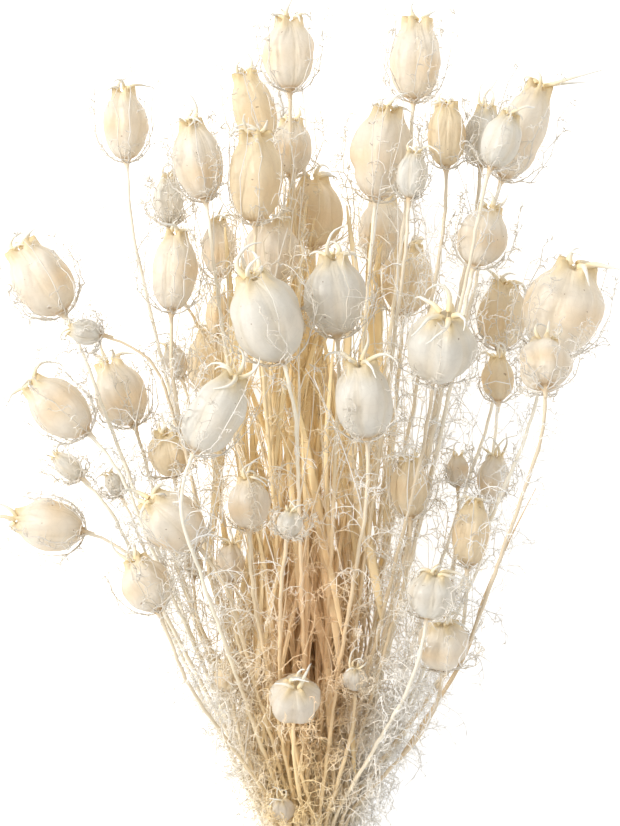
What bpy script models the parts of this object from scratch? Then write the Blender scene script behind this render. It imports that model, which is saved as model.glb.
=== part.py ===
"""A tied bunch of dried love-in-a-mist seed pods, lying on its side.

+Z is up. +Y runs from the cut ends through the tie to the pods, and X runs across the bunch.
Each stem, with its pod, thread-like bracts and leaves and any side shoot, is one object, and so is the tie.
Sizes are in millimetres, with y measured from the tie and z from the table, and MM turns them into metres.
"""

import math
import random
from collections import namedtuple

import bmesh
import bpy
import numpy as np
from mathutils import Matrix, Vector

MM = 0.001
SEED = 11

# The run of the bunch, along Y
CUT_END = -88.0
LEVEL_STEP = 6.0
TOP_LEVEL = 332.0

# How the pods and then the stems are eased into place, in turns
HEAD_TURNS = 160
HEAD_SHARE = 0.2
TURNS = 700
UNEASED_TURNS = 15
EASE = 0.4
GAP_START = 0.3
GAP_TURNS = 150
STEM_SHARE = 0.35
HEAD_PUSH = 0.5
TURNS_PER_SEARCH = 12

# The tie, a band of wound raffia with a flat underside that the bunch rests on
TIE_INNER = 12.9
TIE_OUTER = 14.6
TIE_HALF_WIDTH = 4.5
TIE_TURNS = 3
TIE_SIDES = 16
TIE_GROOVE = 0.5
TIE_CENTRE = np.array([0.0, 0.0, TIE_OUTER * math.cos(math.pi / TIE_SIDES)])
TIE_ROOM = TIE_INNER * math.cos(math.pi / TIE_SIDES)
KNOT_MIDDLE = (1.5, 0.0, 29.6)
KNOT_HALF_SIZE = (3.6, 3.0, 2.4)
RAFFIA_RADIUS = 0.9
LOOSE_ENDS = [
    [KNOT_MIDDLE, (8, -3, 32.5), (14.5, -6, 30), (19, -9, 23.5), (20.5, -11, 16)],
    [KNOT_MIDDLE, (-6, -4, 31.8), (-12.5, -7.5, 28.5), (-17.5, -10, 22), (-19, -13, 17)],
]

# Stems and threads
STEM_RADIUS = 1.0
SHOOT_RADIUS = 0.75
STEM_TAPER = 0.75
STEM_GAP = 3.3
TIED_GAP = 2.75
RUN_IN = 13.0
RUN_IN_SIDEWAYS = 23.0
SHOOT_LENGTH = 38.0
CURVE_SLACK = 0.65
TIED_SLACK = 0.15
TIED_BELOW = 26.0
THREAD_RADIUS = 0.45
THREAD_GAP = 1.2
LEAVES = 3
LEAF_LENGTH = (20, 34)

# Pods
LOBES = 5
LOBE_DEPTH = 0.09
BRACTS = 5
LEAST_BRACTS = 3
WIDTH_PER_BRACT = 4.2
HEAD_GAP = 1.6
STEM_TO_HEAD = 3.4
RESTING_BELOW = 20.0
NECK_BALL = 1.4

# Each ring of a pod from its dimpled top to its base: share of the half length, and of the half width
TALL_POD = [(0.78, 0), (0.82, 0.4), (0.58, 0.82), (-0.05, 1.0), (-0.7, 0.7), (-1, 0)]
SMALL_POD = [(0.78, 0), (0.82, 0.4), (0.25, 0.95), (-0.6, 0.8), (-1, 0)]
SMALL_BELOW = 7.0

# x, y and z are the pod's middle, lean turns its tip from +Y towards +X and rise lifts it, in degrees.
# host is the row whose stem a side shoot leaves, or None for a stem of its own.
Head = namedtuple("Head", "x y z length width lean rise host", defaults=(0, None))
HEADS = [
    Head(-74, 315, 80, 28, 17, -3),
    Head(-8, 343, 85, 28, 20, 0),
    Head(-23, 325, 7.2, 30, 17, -15),
    Head(-44, 300, 98, 31, 19, -10, 5),
    Head(-22, 293, 100, 35, 21, 0),
    Head(-7, 306, 70, 22, 16, 0),
    Head(-57, 286, 58, 20, 12, 0, 0, 17),
    Head(41, 340, 80, 32, 20, 3),
    Head(30, 304, 86, 36, 24, 8),
    Head(40, 294, 114, 19, 12, 5),
    Head(54, 310, 100, 25, 15, 0, 5),
    Head(69, 310, 90, 23, 15, 5),
    Head(85, 313, 62, 40, 19, 22),
    Head(75, 307, 118, 22, 15, 20, 5),
    Head(-107, 253, 85, 31, 23, -33),
    Head(-89, 232, 103, 13, 10, -80, 0, 16),
    Head(-54, 256, 100, 31, 18, 3),
    Head(-37, 267, 42, 24, 13, 0),
    Head(-17, 237, 128, 36, 28, -20, 15),
    Head(-16, 264, 84, 26, 22, 5),
    Head(-100, 202, 90, 29, 20, -50),
    Head(-76, 208, 62, 27, 20, -22),
    Head(-54, 221, 72, 14, 9, -20, 0, 21),
    Head(-42, 221, 7.2, 24, 17, 0),
    Head(-37, 240, 56, 18, 10, 5, 0, 23),
    Head(-37, 200, 132, 33, 22, 28, 5),
    Head(10, 246, 112, 31, 23, -3, 5),
    Head(51, 226, 126, 30, 26, 10, 35),
    Head(100, 241, 98, 37, 30, 17, 10),
    Head(92, 219, 126, 22, 20, 0, -35),
    Head(68, 270, 98, 24, 19, 15),
    Head(39, 254, 50, 27, 21, 5),
    Head(79, 240, 8.5, 27, 20, 5),
    Head(76, 214, 48, 18, 13, 0),
    Head(21, 205, 122, 30, 23, -5, 10),
    Head(4, 211, 42, 22, 15, 0),
    Head(1, 281, 60, 28, 22, 0),
    Head(30, 275, 8.5, 26, 20, 0),
    Head(-104, 155, 84, 27, 20, -80),
    Head(-97, 179, 64, 14, 9, -50),
    Head(-54, 157, 110, 27, 22, -45, 20),
    Head(-56, 184, 74, 19, 17, -10, 25),
    Head(-79, 171, 62, 10, 8, -30, 0, 39),
    Head(-24, 164, 98, 20, 16, 0),
    Head(-8, 157, 122, 11, 10, 10, 20),
    Head(-65, 132, 99, 22, 19, -25),
    Head(-32, 140, 66, 16, 11, 0),
    Head(-47, 139, 58, 10, 8, 0, 0, 46),
    Head(40, 170, 85, 23, 15, 0),
    Head(74, 174, 58, 19, 13, 5),
    Head(64, 152, 84, 26, 15, 5),
    Head(48, 128, 104, 19, 18, 10, 20),
    Head(60, 177, 42, 13, 9, 0, 0, 49),
    Head(53, 108, 85, 21, 20, 0, 30),
    Head(-6, 86, 84, 20, 20, 5, 50),
    Head(-33, 94, 60, 13, 11, -10),
    Head(18, 94, 76, 10.5, 10, 0, 30),
    Head(-11, 40, 45, 12, 9, -10, 42),
]
COUNT = len(HEADS)

# The stems that have bleached the most and the least, by the numbers in their names
BLEACHED = {10, 12, 14, 19, 26, 27, 28, 35, 52, 55}
STRAW = {3, 5, 11, 24, 32, 33, 34, 36, 37, 42, 49, 51, 56}
OWNER = [i if head.host is None else head.host for i, head in enumerate(HEADS)]


def axis_of(head):
    """The unit vector from a pod's base to its tip."""
    lean = math.radians(head.lean)
    rise = math.radians(head.rise)
    return np.array([math.sin(lean) * math.cos(rise), math.cos(lean) * math.cos(rise), math.sin(rise)])


AXES = np.array([axis_of(head) for head in HEADS])
HALF_WIDTHS = np.array([head.width / 2 for head in HEADS])
HALF_LENGTHS = np.array([head.length / 2 for head in HEADS])


def balls_of(centres):
    """Balls that fill each pod, its crown and the top of its stem: their middles and their radii."""
    reach = np.maximum(HALF_LENGTHS - HALF_WIDTHS, 0)
    neck = np.full(COUNT, NECK_BALL)
    along = [-HALF_LENGTHS - 12, -HALF_LENGTHS - 6, -reach, 0 * reach, reach, HALF_LENGTHS + 2]
    along = np.stack(along, axis=1)
    radii = np.stack([neck, neck, HALF_WIDTHS, HALF_WIDTHS, HALF_WIDTHS, 0.7 * HALF_WIDTHS], axis=1)
    return centres[:, None] + along[:, :, None] * AXES[:, None], radii


def settle_heads():
    """The pods' middles, eased apart until no two touch. Pods that lie on the table stay down."""
    centres = np.array([[head.x, head.y, head.z] for head in HEADS], float)
    ease = np.array([0.35, 0.35, 1.0]) * np.ones((COUNT, 1))
    ease[centres[:, 2] < RESTING_BELOW, 2] = 0
    other = ~np.eye(COUNT, dtype=bool)[:, None, :, None]
    for _ in range(HEAD_TURNS):
        middles, radii = balls_of(centres)
        apart = middles[:, :, None, None] - middles[None, None]
        distance = np.linalg.norm(apart, axis=-1) + 1e-9
        lack = np.maximum(radii[:, :, None, None] + radii + HEAD_GAP - distance, 0) * other
        centres += HEAD_SHARE * ease * (apart / distance[..., None] * lack[..., None]).sum(axis=(1, 2, 3))
    return centres


def tied_spots(necks):
    """Where each stem passes through the tie: the more it slants away from the others, the further out."""
    slants = (necks[:, [0, 2]] - TIE_CENTRE[[0, 2]]) / (necks[:, 1:2] + 50)
    slants -= np.median(slants, axis=0)
    rank = np.argsort(np.argsort(np.linalg.norm(slants, axis=1)))
    radius = (TIE_INNER - STEM_RADIUS) * np.sqrt((rank + 0.5) / COUNT)
    return TIE_CENTRE[[0, 2]] + slants / np.linalg.norm(slants, axis=1, keepdims=True) * radius[:, None]


def route_stems(centres):
    """Each stem's centreline from its cut end, or its fork, to the base of its pod.

    The stems are points in slices across the bunch. They are eased straight, and apart from each other,
    from the pods and from the table, and the slices within the tie keep inside it.
    """
    levels = np.arange(CUT_END, TOP_LEVEL, LEVEL_STEP)
    bases = centres - AXES * HALF_LENGTHS[:, None]
    run_in = RUN_IN + (RUN_IN_SIDEWAYS - RUN_IN) * np.abs(AXES[:, 0])
    necks = bases - AXES * run_in[:, None] - np.array([0, 5.0, 0])
    is_shoot = np.array([head.host is not None for head in HEADS])
    first = np.where(is_shoot, (necks[:, 1] - SHOOT_LENGTH - CUT_END) / LEVEL_STEP, 0).astype(int)
    last = ((necks[:, 1] - 5 - CUT_END) / LEVEL_STEP).astype(int)
    steps = np.arange(len(levels))[:, None]
    live = (steps >= first) & (steps <= last)
    at_last = steps == last

    share = np.clip(levels[:, None] / necks[None, :, 1], 0, 1)
    tied = tied_spots(necks)
    spots = tied + share[..., None] * (necks[:, [0, 2]] - tied)

    both = live[:-1] & live[1:]
    pairs = np.array(np.nonzero(both[:, :, None] & both[:, None, :] & np.less.outer(OWNER, OWNER)))
    loose = np.clip((np.abs(levels + LEVEL_STEP / 2) - 8) / 30, 0, 1)
    gaps = TIED_GAP + (STEM_GAP - TIED_GAP) * loose
    middles, radii = balls_of(centres)
    middles = middles.reshape(-1, 3)
    off_slice = levels[:, None] - middles[:, 1]
    slice_radius = np.sqrt(np.maximum((radii.ravel() + STEM_TO_HEAD) ** 2 - off_slice ** 2, 0))
    ball_of = np.repeat(np.arange(COUNT), radii.shape[1])
    near = live[:, :, None] & (slice_radius > 0)[:, None, :] & (ball_of != np.arange(COUNT)[:, None])
    ball_level, stem, ball = np.nonzero(near)
    past_tie = np.maximum(np.abs(levels) - TIE_HALF_WIDTH - 2, 0)
    bound = (TIE_ROOM - STEM_RADIUS - 0.4 + 0.09 * past_tie ** 1.4)[:, None, None]
    bound[levels > 40] = math.inf

    for turn in range(TURNS):
        push = np.zeros_like(spots)
        if turn % TURNS_PER_SEARCH == 0:
            level, one, two = pairs
            close = np.linalg.norm(spots[level, one] - spots[level, two], axis=1) < 4 * STEM_GAP
            level, one, two = pairs[:, close]
        start = spots[level, one] - spots[level, two]
        change = spots[level + 1, one] - spots[level + 1, two] - start
        nearest = -(start * change).sum(axis=1) / ((change ** 2).sum(axis=1) + 1e-9)
        nearest = np.clip(nearest, 0, 1)[:, None]
        wanted = gaps[level] * min(1, GAP_START + turn / GAP_TURNS)
        apart = STEM_SHARE * lacking(start + nearest * change, wanted)
        for stem_of, sign in ((one, 1), (two, -1)):
            np.add.at(push, (level, stem_of), sign * (1 - nearest) * apart)
            np.add.at(push, (level + 1, stem_of), sign * nearest * apart)
        off = spots[ball_level, stem] - middles[ball][:, [0, 2]]
        np.add.at(push, (ball_level, stem), HEAD_PUSH * lacking(off, slice_radius[ball_level, ball]))
        if turn < TURNS - UNEASED_TURNS:
            ease = EASE * (1 - turn / TURNS) ** 1.5
            above = np.where(at_last[..., None], necks[None][..., [0, 2]], np.roll(spots, -1, axis=0))
            below = np.where((steps == first)[..., None], spots, np.roll(spots, 1, axis=0))
            below[0] = 2 * spots[0] - spots[1]
            push += ease * (above + below - 2 * spots) * live[..., None]
        spots += push
        spots[..., 1] = np.maximum(spots[..., 1], STEM_RADIUS + 0.6)
        out = spots - TIE_CENTRE[[0, 2]]
        radius = np.linalg.norm(out, axis=-1, keepdims=True) + 1e-9
        spots = TIE_CENTRE[[0, 2]] + out * np.minimum(bound / radius, 1)
        for i in np.flatnonzero(is_shoot):
            spots[first[i], i] = spots[first[i], OWNER[i]]

    lines = []
    for i in range(COUNT):
        rows = range(first[i], last[i] + 1)
        line = [np.array([spots[s, i, 0], levels[s], spots[s, i, 1]]) for s in rows]
        line += [necks[i] + np.array([0, 2.0, 0]), bases[i] - AXES[i] * 0.45 * run_in[i], bases[i] + AXES[i]]
        lines.append(rounded(np.array(line)))
    return lines


def lacking(apart, wanted):
    """The way that each pair still has to move apart to be as far from each other as is wanted."""
    distance = np.linalg.norm(apart, axis=-1) + 1e-6
    return apart * (np.maximum(wanted - distance, 0) / distance)[:, None]


def rounded(line):
    """A line with its corners eased near the pod, its ends kept."""
    for _ in range(2):
        line[-5:-1] = 0.25 * line[-6:-2] + 0.5 * line[-5:-1] + 0.25 * line[-4:]
    return line


def thinned(line):
    """The fewest of a line's points that keep it near where it was, and nearest within the tie."""
    slack = np.where(np.abs(line[:, 1]) < TIED_BELOW, TIED_SLACK, CURVE_SLACK)
    run = line[-1] - line[0]
    along = np.clip((line - line[0]) @ run / (run @ run), 0, 1)
    off = np.linalg.norm(line - line[0] - along[:, None] * run, axis=1) / slack
    widest = int(off.argmax())
    if off[widest] < 1:
        return np.array([line[0], line[-1]])
    return np.vstack([thinned(line[: widest + 1])[:-1], thinned(line[widest:])])


def resampled(line, step):
    """Points at about every step along a line."""
    lengths = np.concatenate([[0], np.cumsum(np.linalg.norm(np.diff(line, axis=0), axis=1))])
    at = np.linspace(0, lengths[-1], max(2, int(lengths[-1] / step) + 1))
    return np.stack([np.interp(at, lengths, line[:, k]) for k in range(3)], axis=1)


class Room:
    """What is already placed: points on stems and threads, and the pods, each with the stem that owns it."""

    def __init__(self, centres, lines):
        self.points = np.zeros((0, 3))
        self.radii = np.zeros(0)
        self.owners = np.zeros(0, int)
        self.middles, radii = balls_of(centres)
        self.ball_radii = radii * (1 + LOBE_DEPTH)
        for i, line in enumerate(lines):
            self.add(resampled(line, 1.5), STEM_RADIUS, OWNER[i])

    def add(self, points, radius, owner):
        self.points = np.vstack([self.points, points])
        self.radii = np.append(self.radii, np.full(len(points), radius))
        self.owners = np.append(self.owners, np.full(len(points), owner))

    def clear(self, points, owner):
        """Whether a thread along these points keeps clear of every other stem's pieces and the table."""
        if points[:, 2].min() < THREAD_RADIUS + 0.3:
            return False
        low = points.min(axis=0) - 4
        high = points.max(axis=0) + 4
        near = (self.owners != owner) & (self.points > low).all(axis=1) & (self.points < high).all(axis=1)
        apart = np.linalg.norm(points[:, None] - self.points[near][None], axis=-1)
        if (apart < self.radii[near] + THREAD_RADIUS + THREAD_GAP).any():
            return False
        pods = np.array(OWNER) != owner
        apart = np.linalg.norm(points[:, None, None] - self.middles[pods][None], axis=-1)
        return not (apart < self.ball_radii[pods] + THREAD_RADIUS + THREAD_GAP).any()


def cross_axes(axis):
    """Two unit vectors square to an axis and to each other."""
    side = np.cross(axis, [0.0, 0.0, 1.0])
    side /= np.linalg.norm(side)
    return side, np.cross(side, axis)


def place_thread(room, owner, make, tries):
    """The first of several threads that has room, or None. make returns the points of each try."""
    for attempt in range(tries):
        points = make(attempt)
        if room.clear(resampled(points, 1.2)[2:], owner):
            room.add(resampled(points, 1.5), THREAD_RADIUS, owner)
            return points
    return None


def around(i, angle):
    """The way out from a pod's axis at an angle round it. Angle 0 is straight down on a level pod."""
    side, up = cross_axes(AXES[i])
    return side * math.sin(angle) - up * math.cos(angle)


def horn_tips(room, i, centre, roll, draw):
    """Where the horn of each lobe ends, short where another stem's piece is in the way."""
    tips = []
    for k in range(LOBES):
        out = around(i, roll + 2 * math.pi * k / LOBES)
        root = centre + AXES[i] * HALF_LENGTHS[i] * 0.7 + out * HALF_WIDTHS[i] * 0.45
        reach = (1 + 0.3 * HALF_WIDTHS[i]) * draw.uniform(0.8, 1.7)
        for share in (1, 0.7, 0.4, 0.1):
            tip = root + AXES[i] * (HALF_LENGTHS[i] * 0.3 + reach * share) + out * 0.6 * reach * share
            points = np.linspace(root, tip, 9)
            if room.clear(points[3:], OWNER[i]) or share == 0.1:
                break
        room.add(points, THREAD_RADIUS, OWNER[i])
        tips.append(tip)
    return tips


def bract_threads(room, i, centre, draw):
    """The finely cut bracts below a pod, which spread and then curve up round it like a cage."""
    half_length = AXES[i] * HALF_LENGTHS[i]
    width = HALF_WIDTHS[i] * (1 + LOBE_DEPTH)
    found = []
    count = min(max(round(HEADS[i].width / WIDTH_PER_BRACT), LEAST_BRACTS), BRACTS)
    start = draw.uniform(0, 2 * math.pi)
    for k in range(count):
        reach = draw.uniform(0.7, 1.35)

        def bract(attempt):
            out = around(i, start + 2 * math.pi * k / count + 0.3 * attempt * (-1) ** attempt)
            shrink = 1 - 0.08 * attempt
            return np.array([
                centre - half_length * 0.75 + out * width * 0.25,
                centre - half_length * 0.5 * shrink + out * (width + 1.6),
                centre + half_length * reach * shrink + out * (width + 2.4),
            ])

        found.append(place_thread(room, OWNER[i], bract, 8))
    return [thread for thread in found if thread is not None]


def leaf_threads(room, i, line, draw):
    """The thread-like leaves that leave a stem along its length and point up and outwards."""
    run = resampled(line, 4.0)
    run = run[(run[:, 1] > 16) & (run[:, 1] < run[-1, 1] - 24)]
    found = []
    for k in range(LEAVES if len(run) > 20 else 1):
        if len(run) < 6:
            break
        root = run[int(len(run) * draw.uniform(0.05, 0.95))]
        turn = draw.uniform(0, 2 * math.pi)
        reach = draw.uniform(*LEAF_LENGTH)

        def leaf(attempt):
            angle = turn + 1.1 * attempt
            out = np.array([math.cos(angle), 0, math.sin(angle)])
            forward = np.array([0, 1.0, 0])
            far = reach * (1 - 0.09 * attempt)
            halfway = root + (out * 0.45 + forward * 0.3) * far
            return np.array([root, halfway, root + (out * 0.6 + forward) * far])

        found.append(place_thread(room, OWNER[i], leaf, 8))
    return [thread for thread in found if thread is not None]


def material(name, colour, roughness):
    """A matt Principled finish."""
    made = bpy.data.materials.new(name)
    made.use_nodes = True
    shader = made.node_tree.nodes["Principled BSDF"]
    shader.inputs["Base Color"].default_value = (*colour, 1)
    shader.inputs["Roughness"].default_value = roughness
    shader.inputs["Metallic"].default_value = 0
    return made


def three_sided_profile(collection):
    """The outline swept along every stem and thread, a triangle of unit radius."""
    data = bpy.data.curves.new("three_sided", "CURVE")
    spline = data.splines.new("POLY")
    spline.points.add(2)
    for k, point in enumerate(spline.points):
        angle = 2 * math.pi * k / 3
        point.co = (math.cos(angle), math.sin(angle), 0, 1)
    spline.use_cyclic_u = True
    profile = bpy.data.objects.new("three_sided", data)
    profile.hide_render = True
    collection.objects.link(profile)
    return profile


def strand(name, points, radii, profile, collection):
    """A stem or thread as a curve, with a radius at each point, in metres."""
    data = bpy.data.curves.new(name, "CURVE")
    data.dimensions = "3D"
    data.bevel_mode = "OBJECT"
    data.bevel_object = profile
    data.use_fill_caps = True
    spline = data.splines.new("POLY")
    spline.points.add(len(points) - 1)
    for target, point, radius in zip(spline.points, points, radii):
        target.co = (*(point * MM), 1)
        target.radius = radius * MM
    made = bpy.data.objects.new(name, data)
    collection.objects.link(made)
    return made


def facing_out(work):
    """Turns a closed mesh's faces outwards."""
    bmesh.ops.recalc_face_normals(work, faces=work.faces)
    if work.calc_volume(signed=True) < 0:
        bmesh.ops.reverse_faces(work, faces=work.faces)


def as_meshes(curves, collection):
    """Closed mesh objects in place of curve objects."""
    bpy.context.view_layer.update()
    graph = bpy.context.evaluated_depsgraph_get()
    meshes = [bpy.data.meshes.new_from_object(curve.evaluated_get(graph)) for curve in curves]
    made = []
    for curve, mesh in zip(curves, meshes):
        name = curve.name
        bpy.data.objects.remove(curve)
        work = bmesh.new()
        work.from_mesh(mesh)
        bmesh.ops.remove_doubles(work, verts=work.verts, dist=0.01 * MM)
        facing_out(work)
        work.to_mesh(mesh)
        work.free()
        solid = bpy.data.objects.new(name, mesh)
        collection.objects.link(solid)
        made.append(solid)
    return made


def pod_mesh(name, i, centre, roll, tips, collection):
    """A swollen capsule with a lobe for each carpel, a dimpled top and a horn rising from each lobe."""
    profile = SMALL_POD if HALF_WIDTHS[i] < SMALL_BELOW else TALL_POD
    work = bmesh.new()
    bmesh.ops.create_uvsphere(work, u_segments=2 * LOBES, v_segments=len(profile) - 1, radius=1)
    for vertex in work.verts:
        ring = round(math.acos(max(-1, min(1, vertex.co.z))) / math.pi * (len(profile) - 1))
        step = round(math.atan2(vertex.co.y, vertex.co.x) / math.pi * LOBES)
        along, width = profile[ring]
        if ring == 1 and step % 2 == 0:
            place = tips[step // 2 % LOBES]
        else:
            lobe = LOBE_DEPTH * (1 if step % 2 == 0 else -1)
            out = around(i, roll + math.pi * step / LOBES)
            place = centre + AXES[i] * HALF_LENGTHS[i] * along + out * HALF_WIDTHS[i] * width * (1 + lobe)
        vertex.co = Vector((place[0], place[1], max(place[2], 0))) * MM
    bmesh.ops.triangulate(work, faces=work.faces, quad_method="SHORT_EDGE")
    facing_out(work)
    mesh = bpy.data.meshes.new(name)
    work.to_mesh(mesh)
    work.free()
    made = bpy.data.objects.new(name, mesh)
    collection.objects.link(made)
    return made


def join(body, collection):
    """Joins a collection's solids to a body with one Boolean union, applied, and removes them."""
    union = body.modifiers.new("grown_together", "BOOLEAN")
    union.operation = "UNION"
    union.operand_type = "COLLECTION"
    union.collection = collection
    union.solver = "MANIFOLD"
    bpy.context.view_layer.update()
    graph = bpy.context.evaluated_depsgraph_get()
    joined = bpy.data.meshes.new_from_object(body.evaluated_get(graph))
    body.modifiers.clear()
    body.data = joined
    for piece in list(collection.objects):
        bpy.data.objects.remove(piece)


def build_stem(i, centres, lines, rolls, tips, threads, profile, parts, helpers):
    """One stem with its pod, its threads and any side shoots, joined in one solid."""
    family = [k for k in range(COUNT) if OWNER[k] == i]
    curves = []
    for k in family:
        base_radius = STEM_RADIUS if k == i else SHOOT_RADIUS
        line = thinned(lines[k])
        radii = np.linspace(base_radius, STEM_TAPER * base_radius, len(line))
        curves.append(strand(f"stalk_{k}", line, radii, profile, helpers))
        for number, points in enumerate(threads[k]):
            radii = THREAD_RADIUS * np.append(np.ones(len(points) - 1), 0)
            curves.append(strand(f"thread_{k}_{number}", points, radii, profile, helpers))
    solids = as_meshes(curves, helpers)
    for k in family:
        pod_mesh(f"pod_{k}", k, centres[k], rolls[k], tips[k], helpers)
    stem = solids[0]
    helpers.objects.unlink(stem)
    stem.name = f"stem_{i + 1:02d}"
    parts.objects.link(stem)
    join(stem, helpers)
    return stem


def build_tie(profile, parts, helpers):
    """The raffia band: a turned profile with a ridge for each turn, and a knot on top with two loose ends."""
    mesh = bpy.data.meshes.new("tie")
    work = bmesh.new()
    width = 2 * TIE_HALF_WIDTH / TIE_TURNS
    outline = [(TIE_INNER, TIE_HALF_WIDTH)]
    for turn in range(TIE_TURNS):
        start = TIE_HALF_WIDTH - turn * width
        outline.append((TIE_OUTER - TIE_GROOVE, start))
        outline += [(TIE_OUTER, start - 0.3 * width), (TIE_OUTER, start - 0.7 * width)]
    outline += [(TIE_OUTER - TIE_GROOVE, -TIE_HALF_WIDTH), (TIE_INNER, -TIE_HALF_WIDTH)]
    corners = [work.verts.new((radius * MM, along * MM, 0)) for radius, along in outline]
    for a, b in zip(corners, corners[1:] + corners[:1]):
        work.edges.new((a, b))
    work.to_mesh(mesh)
    work.free()
    tie = bpy.data.objects.new("tie", mesh)
    turned = tie.modifiers.new("wound", "SCREW")
    turned.axis = "Y"
    turned.steps = TIE_SIDES
    turned.render_steps = TIE_SIDES
    turned.use_merge_vertices = True
    turned.merge_threshold = 0.00005
    parts.objects.link(tie)
    bpy.context.view_layer.update()
    graph = bpy.context.evaluated_depsgraph_get()
    band = bpy.data.meshes.new_from_object(tie.evaluated_get(graph))
    flat_down = Matrix.Rotation(math.pi / 2 - math.pi / TIE_SIDES, 4, "Y")
    band.transform(Matrix.Translation(Vector(TIE_CENTRE) * MM) @ flat_down)
    tie.modifiers.clear()
    tie.data = band

    ends = [strand(f"end_{k}", np.array(points), [RAFFIA_RADIUS] * len(points), profile, helpers)
            for k, points in enumerate(LOOSE_ENDS)]
    as_meshes(ends, helpers)
    work = bmesh.new()
    bmesh.ops.create_uvsphere(work, u_segments=7, v_segments=5, radius=1)
    bmesh.ops.scale(work, verts=work.verts, vec=Vector(KNOT_HALF_SIZE) * MM)
    bmesh.ops.translate(work, verts=work.verts, vec=Vector(KNOT_MIDDLE) * MM)
    mesh = bpy.data.meshes.new("knot")
    work.to_mesh(mesh)
    work.free()
    helpers.objects.link(bpy.data.objects.new("knot", mesh))
    join(tie, helpers)
    return tie


def main():
    for old in list(bpy.data.objects):
        bpy.data.objects.remove(old)
    parts = bpy.data.collections.new("dried_pod_bunch")
    helpers = bpy.data.collections.new("helpers")
    outlines = bpy.data.collections.new("outlines")
    for collection in (parts, helpers, outlines):
        bpy.context.scene.collection.children.link(collection)
    profile = three_sided_profile(outlines)

    centres = settle_heads()
    lines = route_stems(centres)
    room = Room(centres, lines)
    draw = random.Random(SEED)
    rolls = [0 if centre[2] < RESTING_BELOW else draw.uniform(0, 2 * math.pi) for centre in centres]
    tips = [horn_tips(room, i, centres[i], rolls[i], draw) for i in range(COUNT)]
    threads = [bract_threads(room, i, centres[i], draw) for i in range(COUNT)]
    for i in range(COUNT):
        threads[i] += leaf_threads(room, i, lines[i], draw)

    bleached = material("bleached", (0.93, 0.89, 0.8), 0.5)
    cream = material("cream", (0.9, 0.81, 0.65), 0.55)
    straw = material("straw", (0.84, 0.68, 0.46), 0.6)
    for i in range(COUNT):
        if OWNER[i] == i:
            stem = build_stem(i, centres, lines, rolls, tips, threads, profile, parts, helpers)
            tone = bleached if i + 1 in BLEACHED else straw if i + 1 in STRAW else cream
            stem.data.materials.clear()
            stem.data.materials.append(tone)
    tie = build_tie(profile, parts, helpers)
    tie.data.materials.clear()
    tie.data.materials.append(material("raffia", (0.62, 0.48, 0.3), 0.8))


main()
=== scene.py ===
"""The looks of a tied bunch of dried love-in-a-mist seed pods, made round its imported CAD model.

+Z is up, +Y runs from the cut ends through the tie to the pods, and the bunch lies on the floor at z 0.
Places and sizes inside the functions are in millimetres, as in the CAD source. MM turns them into metres.
Each leafy stem of the CAD model is replaced by one finer piece that keeps its form, and so is the tie.
"""

import functools
import math
import random
from collections import namedtuple

import bmesh
import bpy
import numpy as np
from bpy.props import FloatProperty, FloatVectorProperty, IntProperty, PointerProperty
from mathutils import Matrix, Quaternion, Vector


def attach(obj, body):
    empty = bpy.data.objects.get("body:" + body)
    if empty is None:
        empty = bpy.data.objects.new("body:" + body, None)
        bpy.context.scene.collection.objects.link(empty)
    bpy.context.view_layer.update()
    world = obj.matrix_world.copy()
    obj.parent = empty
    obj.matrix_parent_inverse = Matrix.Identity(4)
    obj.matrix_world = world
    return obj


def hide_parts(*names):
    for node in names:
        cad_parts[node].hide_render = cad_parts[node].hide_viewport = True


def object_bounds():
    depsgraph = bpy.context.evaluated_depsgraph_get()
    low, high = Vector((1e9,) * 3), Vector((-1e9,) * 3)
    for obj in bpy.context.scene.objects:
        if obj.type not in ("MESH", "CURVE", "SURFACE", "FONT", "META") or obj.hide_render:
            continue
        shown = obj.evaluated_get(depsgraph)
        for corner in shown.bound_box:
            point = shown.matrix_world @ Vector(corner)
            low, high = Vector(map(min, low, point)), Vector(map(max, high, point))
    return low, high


bl_info = {
    "name": "Dried Pod Bunch",
    "version": (1, 0, 0),
    "blender": (4, 5, 0),
    "location": "3D View > Sidebar > Pod Bunch",
    "description": "Makes a tied bunch of dried love-in-a-mist seed pods, and its stage",
    "category": "Add Mesh",
}

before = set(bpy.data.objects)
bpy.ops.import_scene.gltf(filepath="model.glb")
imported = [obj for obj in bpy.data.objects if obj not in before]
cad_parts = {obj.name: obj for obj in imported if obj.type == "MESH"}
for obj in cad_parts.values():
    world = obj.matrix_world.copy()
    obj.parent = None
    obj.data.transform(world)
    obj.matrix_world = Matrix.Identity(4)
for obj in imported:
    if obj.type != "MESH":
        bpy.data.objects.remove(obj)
CAD_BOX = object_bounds()

MM = 0.001
SEED = 11
LOOKS_SEED = 5

# The layout of the CAD source: the run of the bunch along Y, in millimetres
CUT_END = -88.0
LEVEL_STEP = 6.0
TOP_LEVEL = 332.0

# How the pods and then the stems are eased into place, in turns
HEAD_TURNS = 160
HEAD_SHARE = 0.2
HEAD_EASE = (0.35, 0.35, 1.0)
TURNS = 700
UNEASED_TURNS = 15
EASE = 0.4
GAP_START = 0.3
GAP_TURNS = 150
STEM_SHARE = 0.35
HEAD_PUSH = 0.5
TURNS_PER_SEARCH = 12

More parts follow.
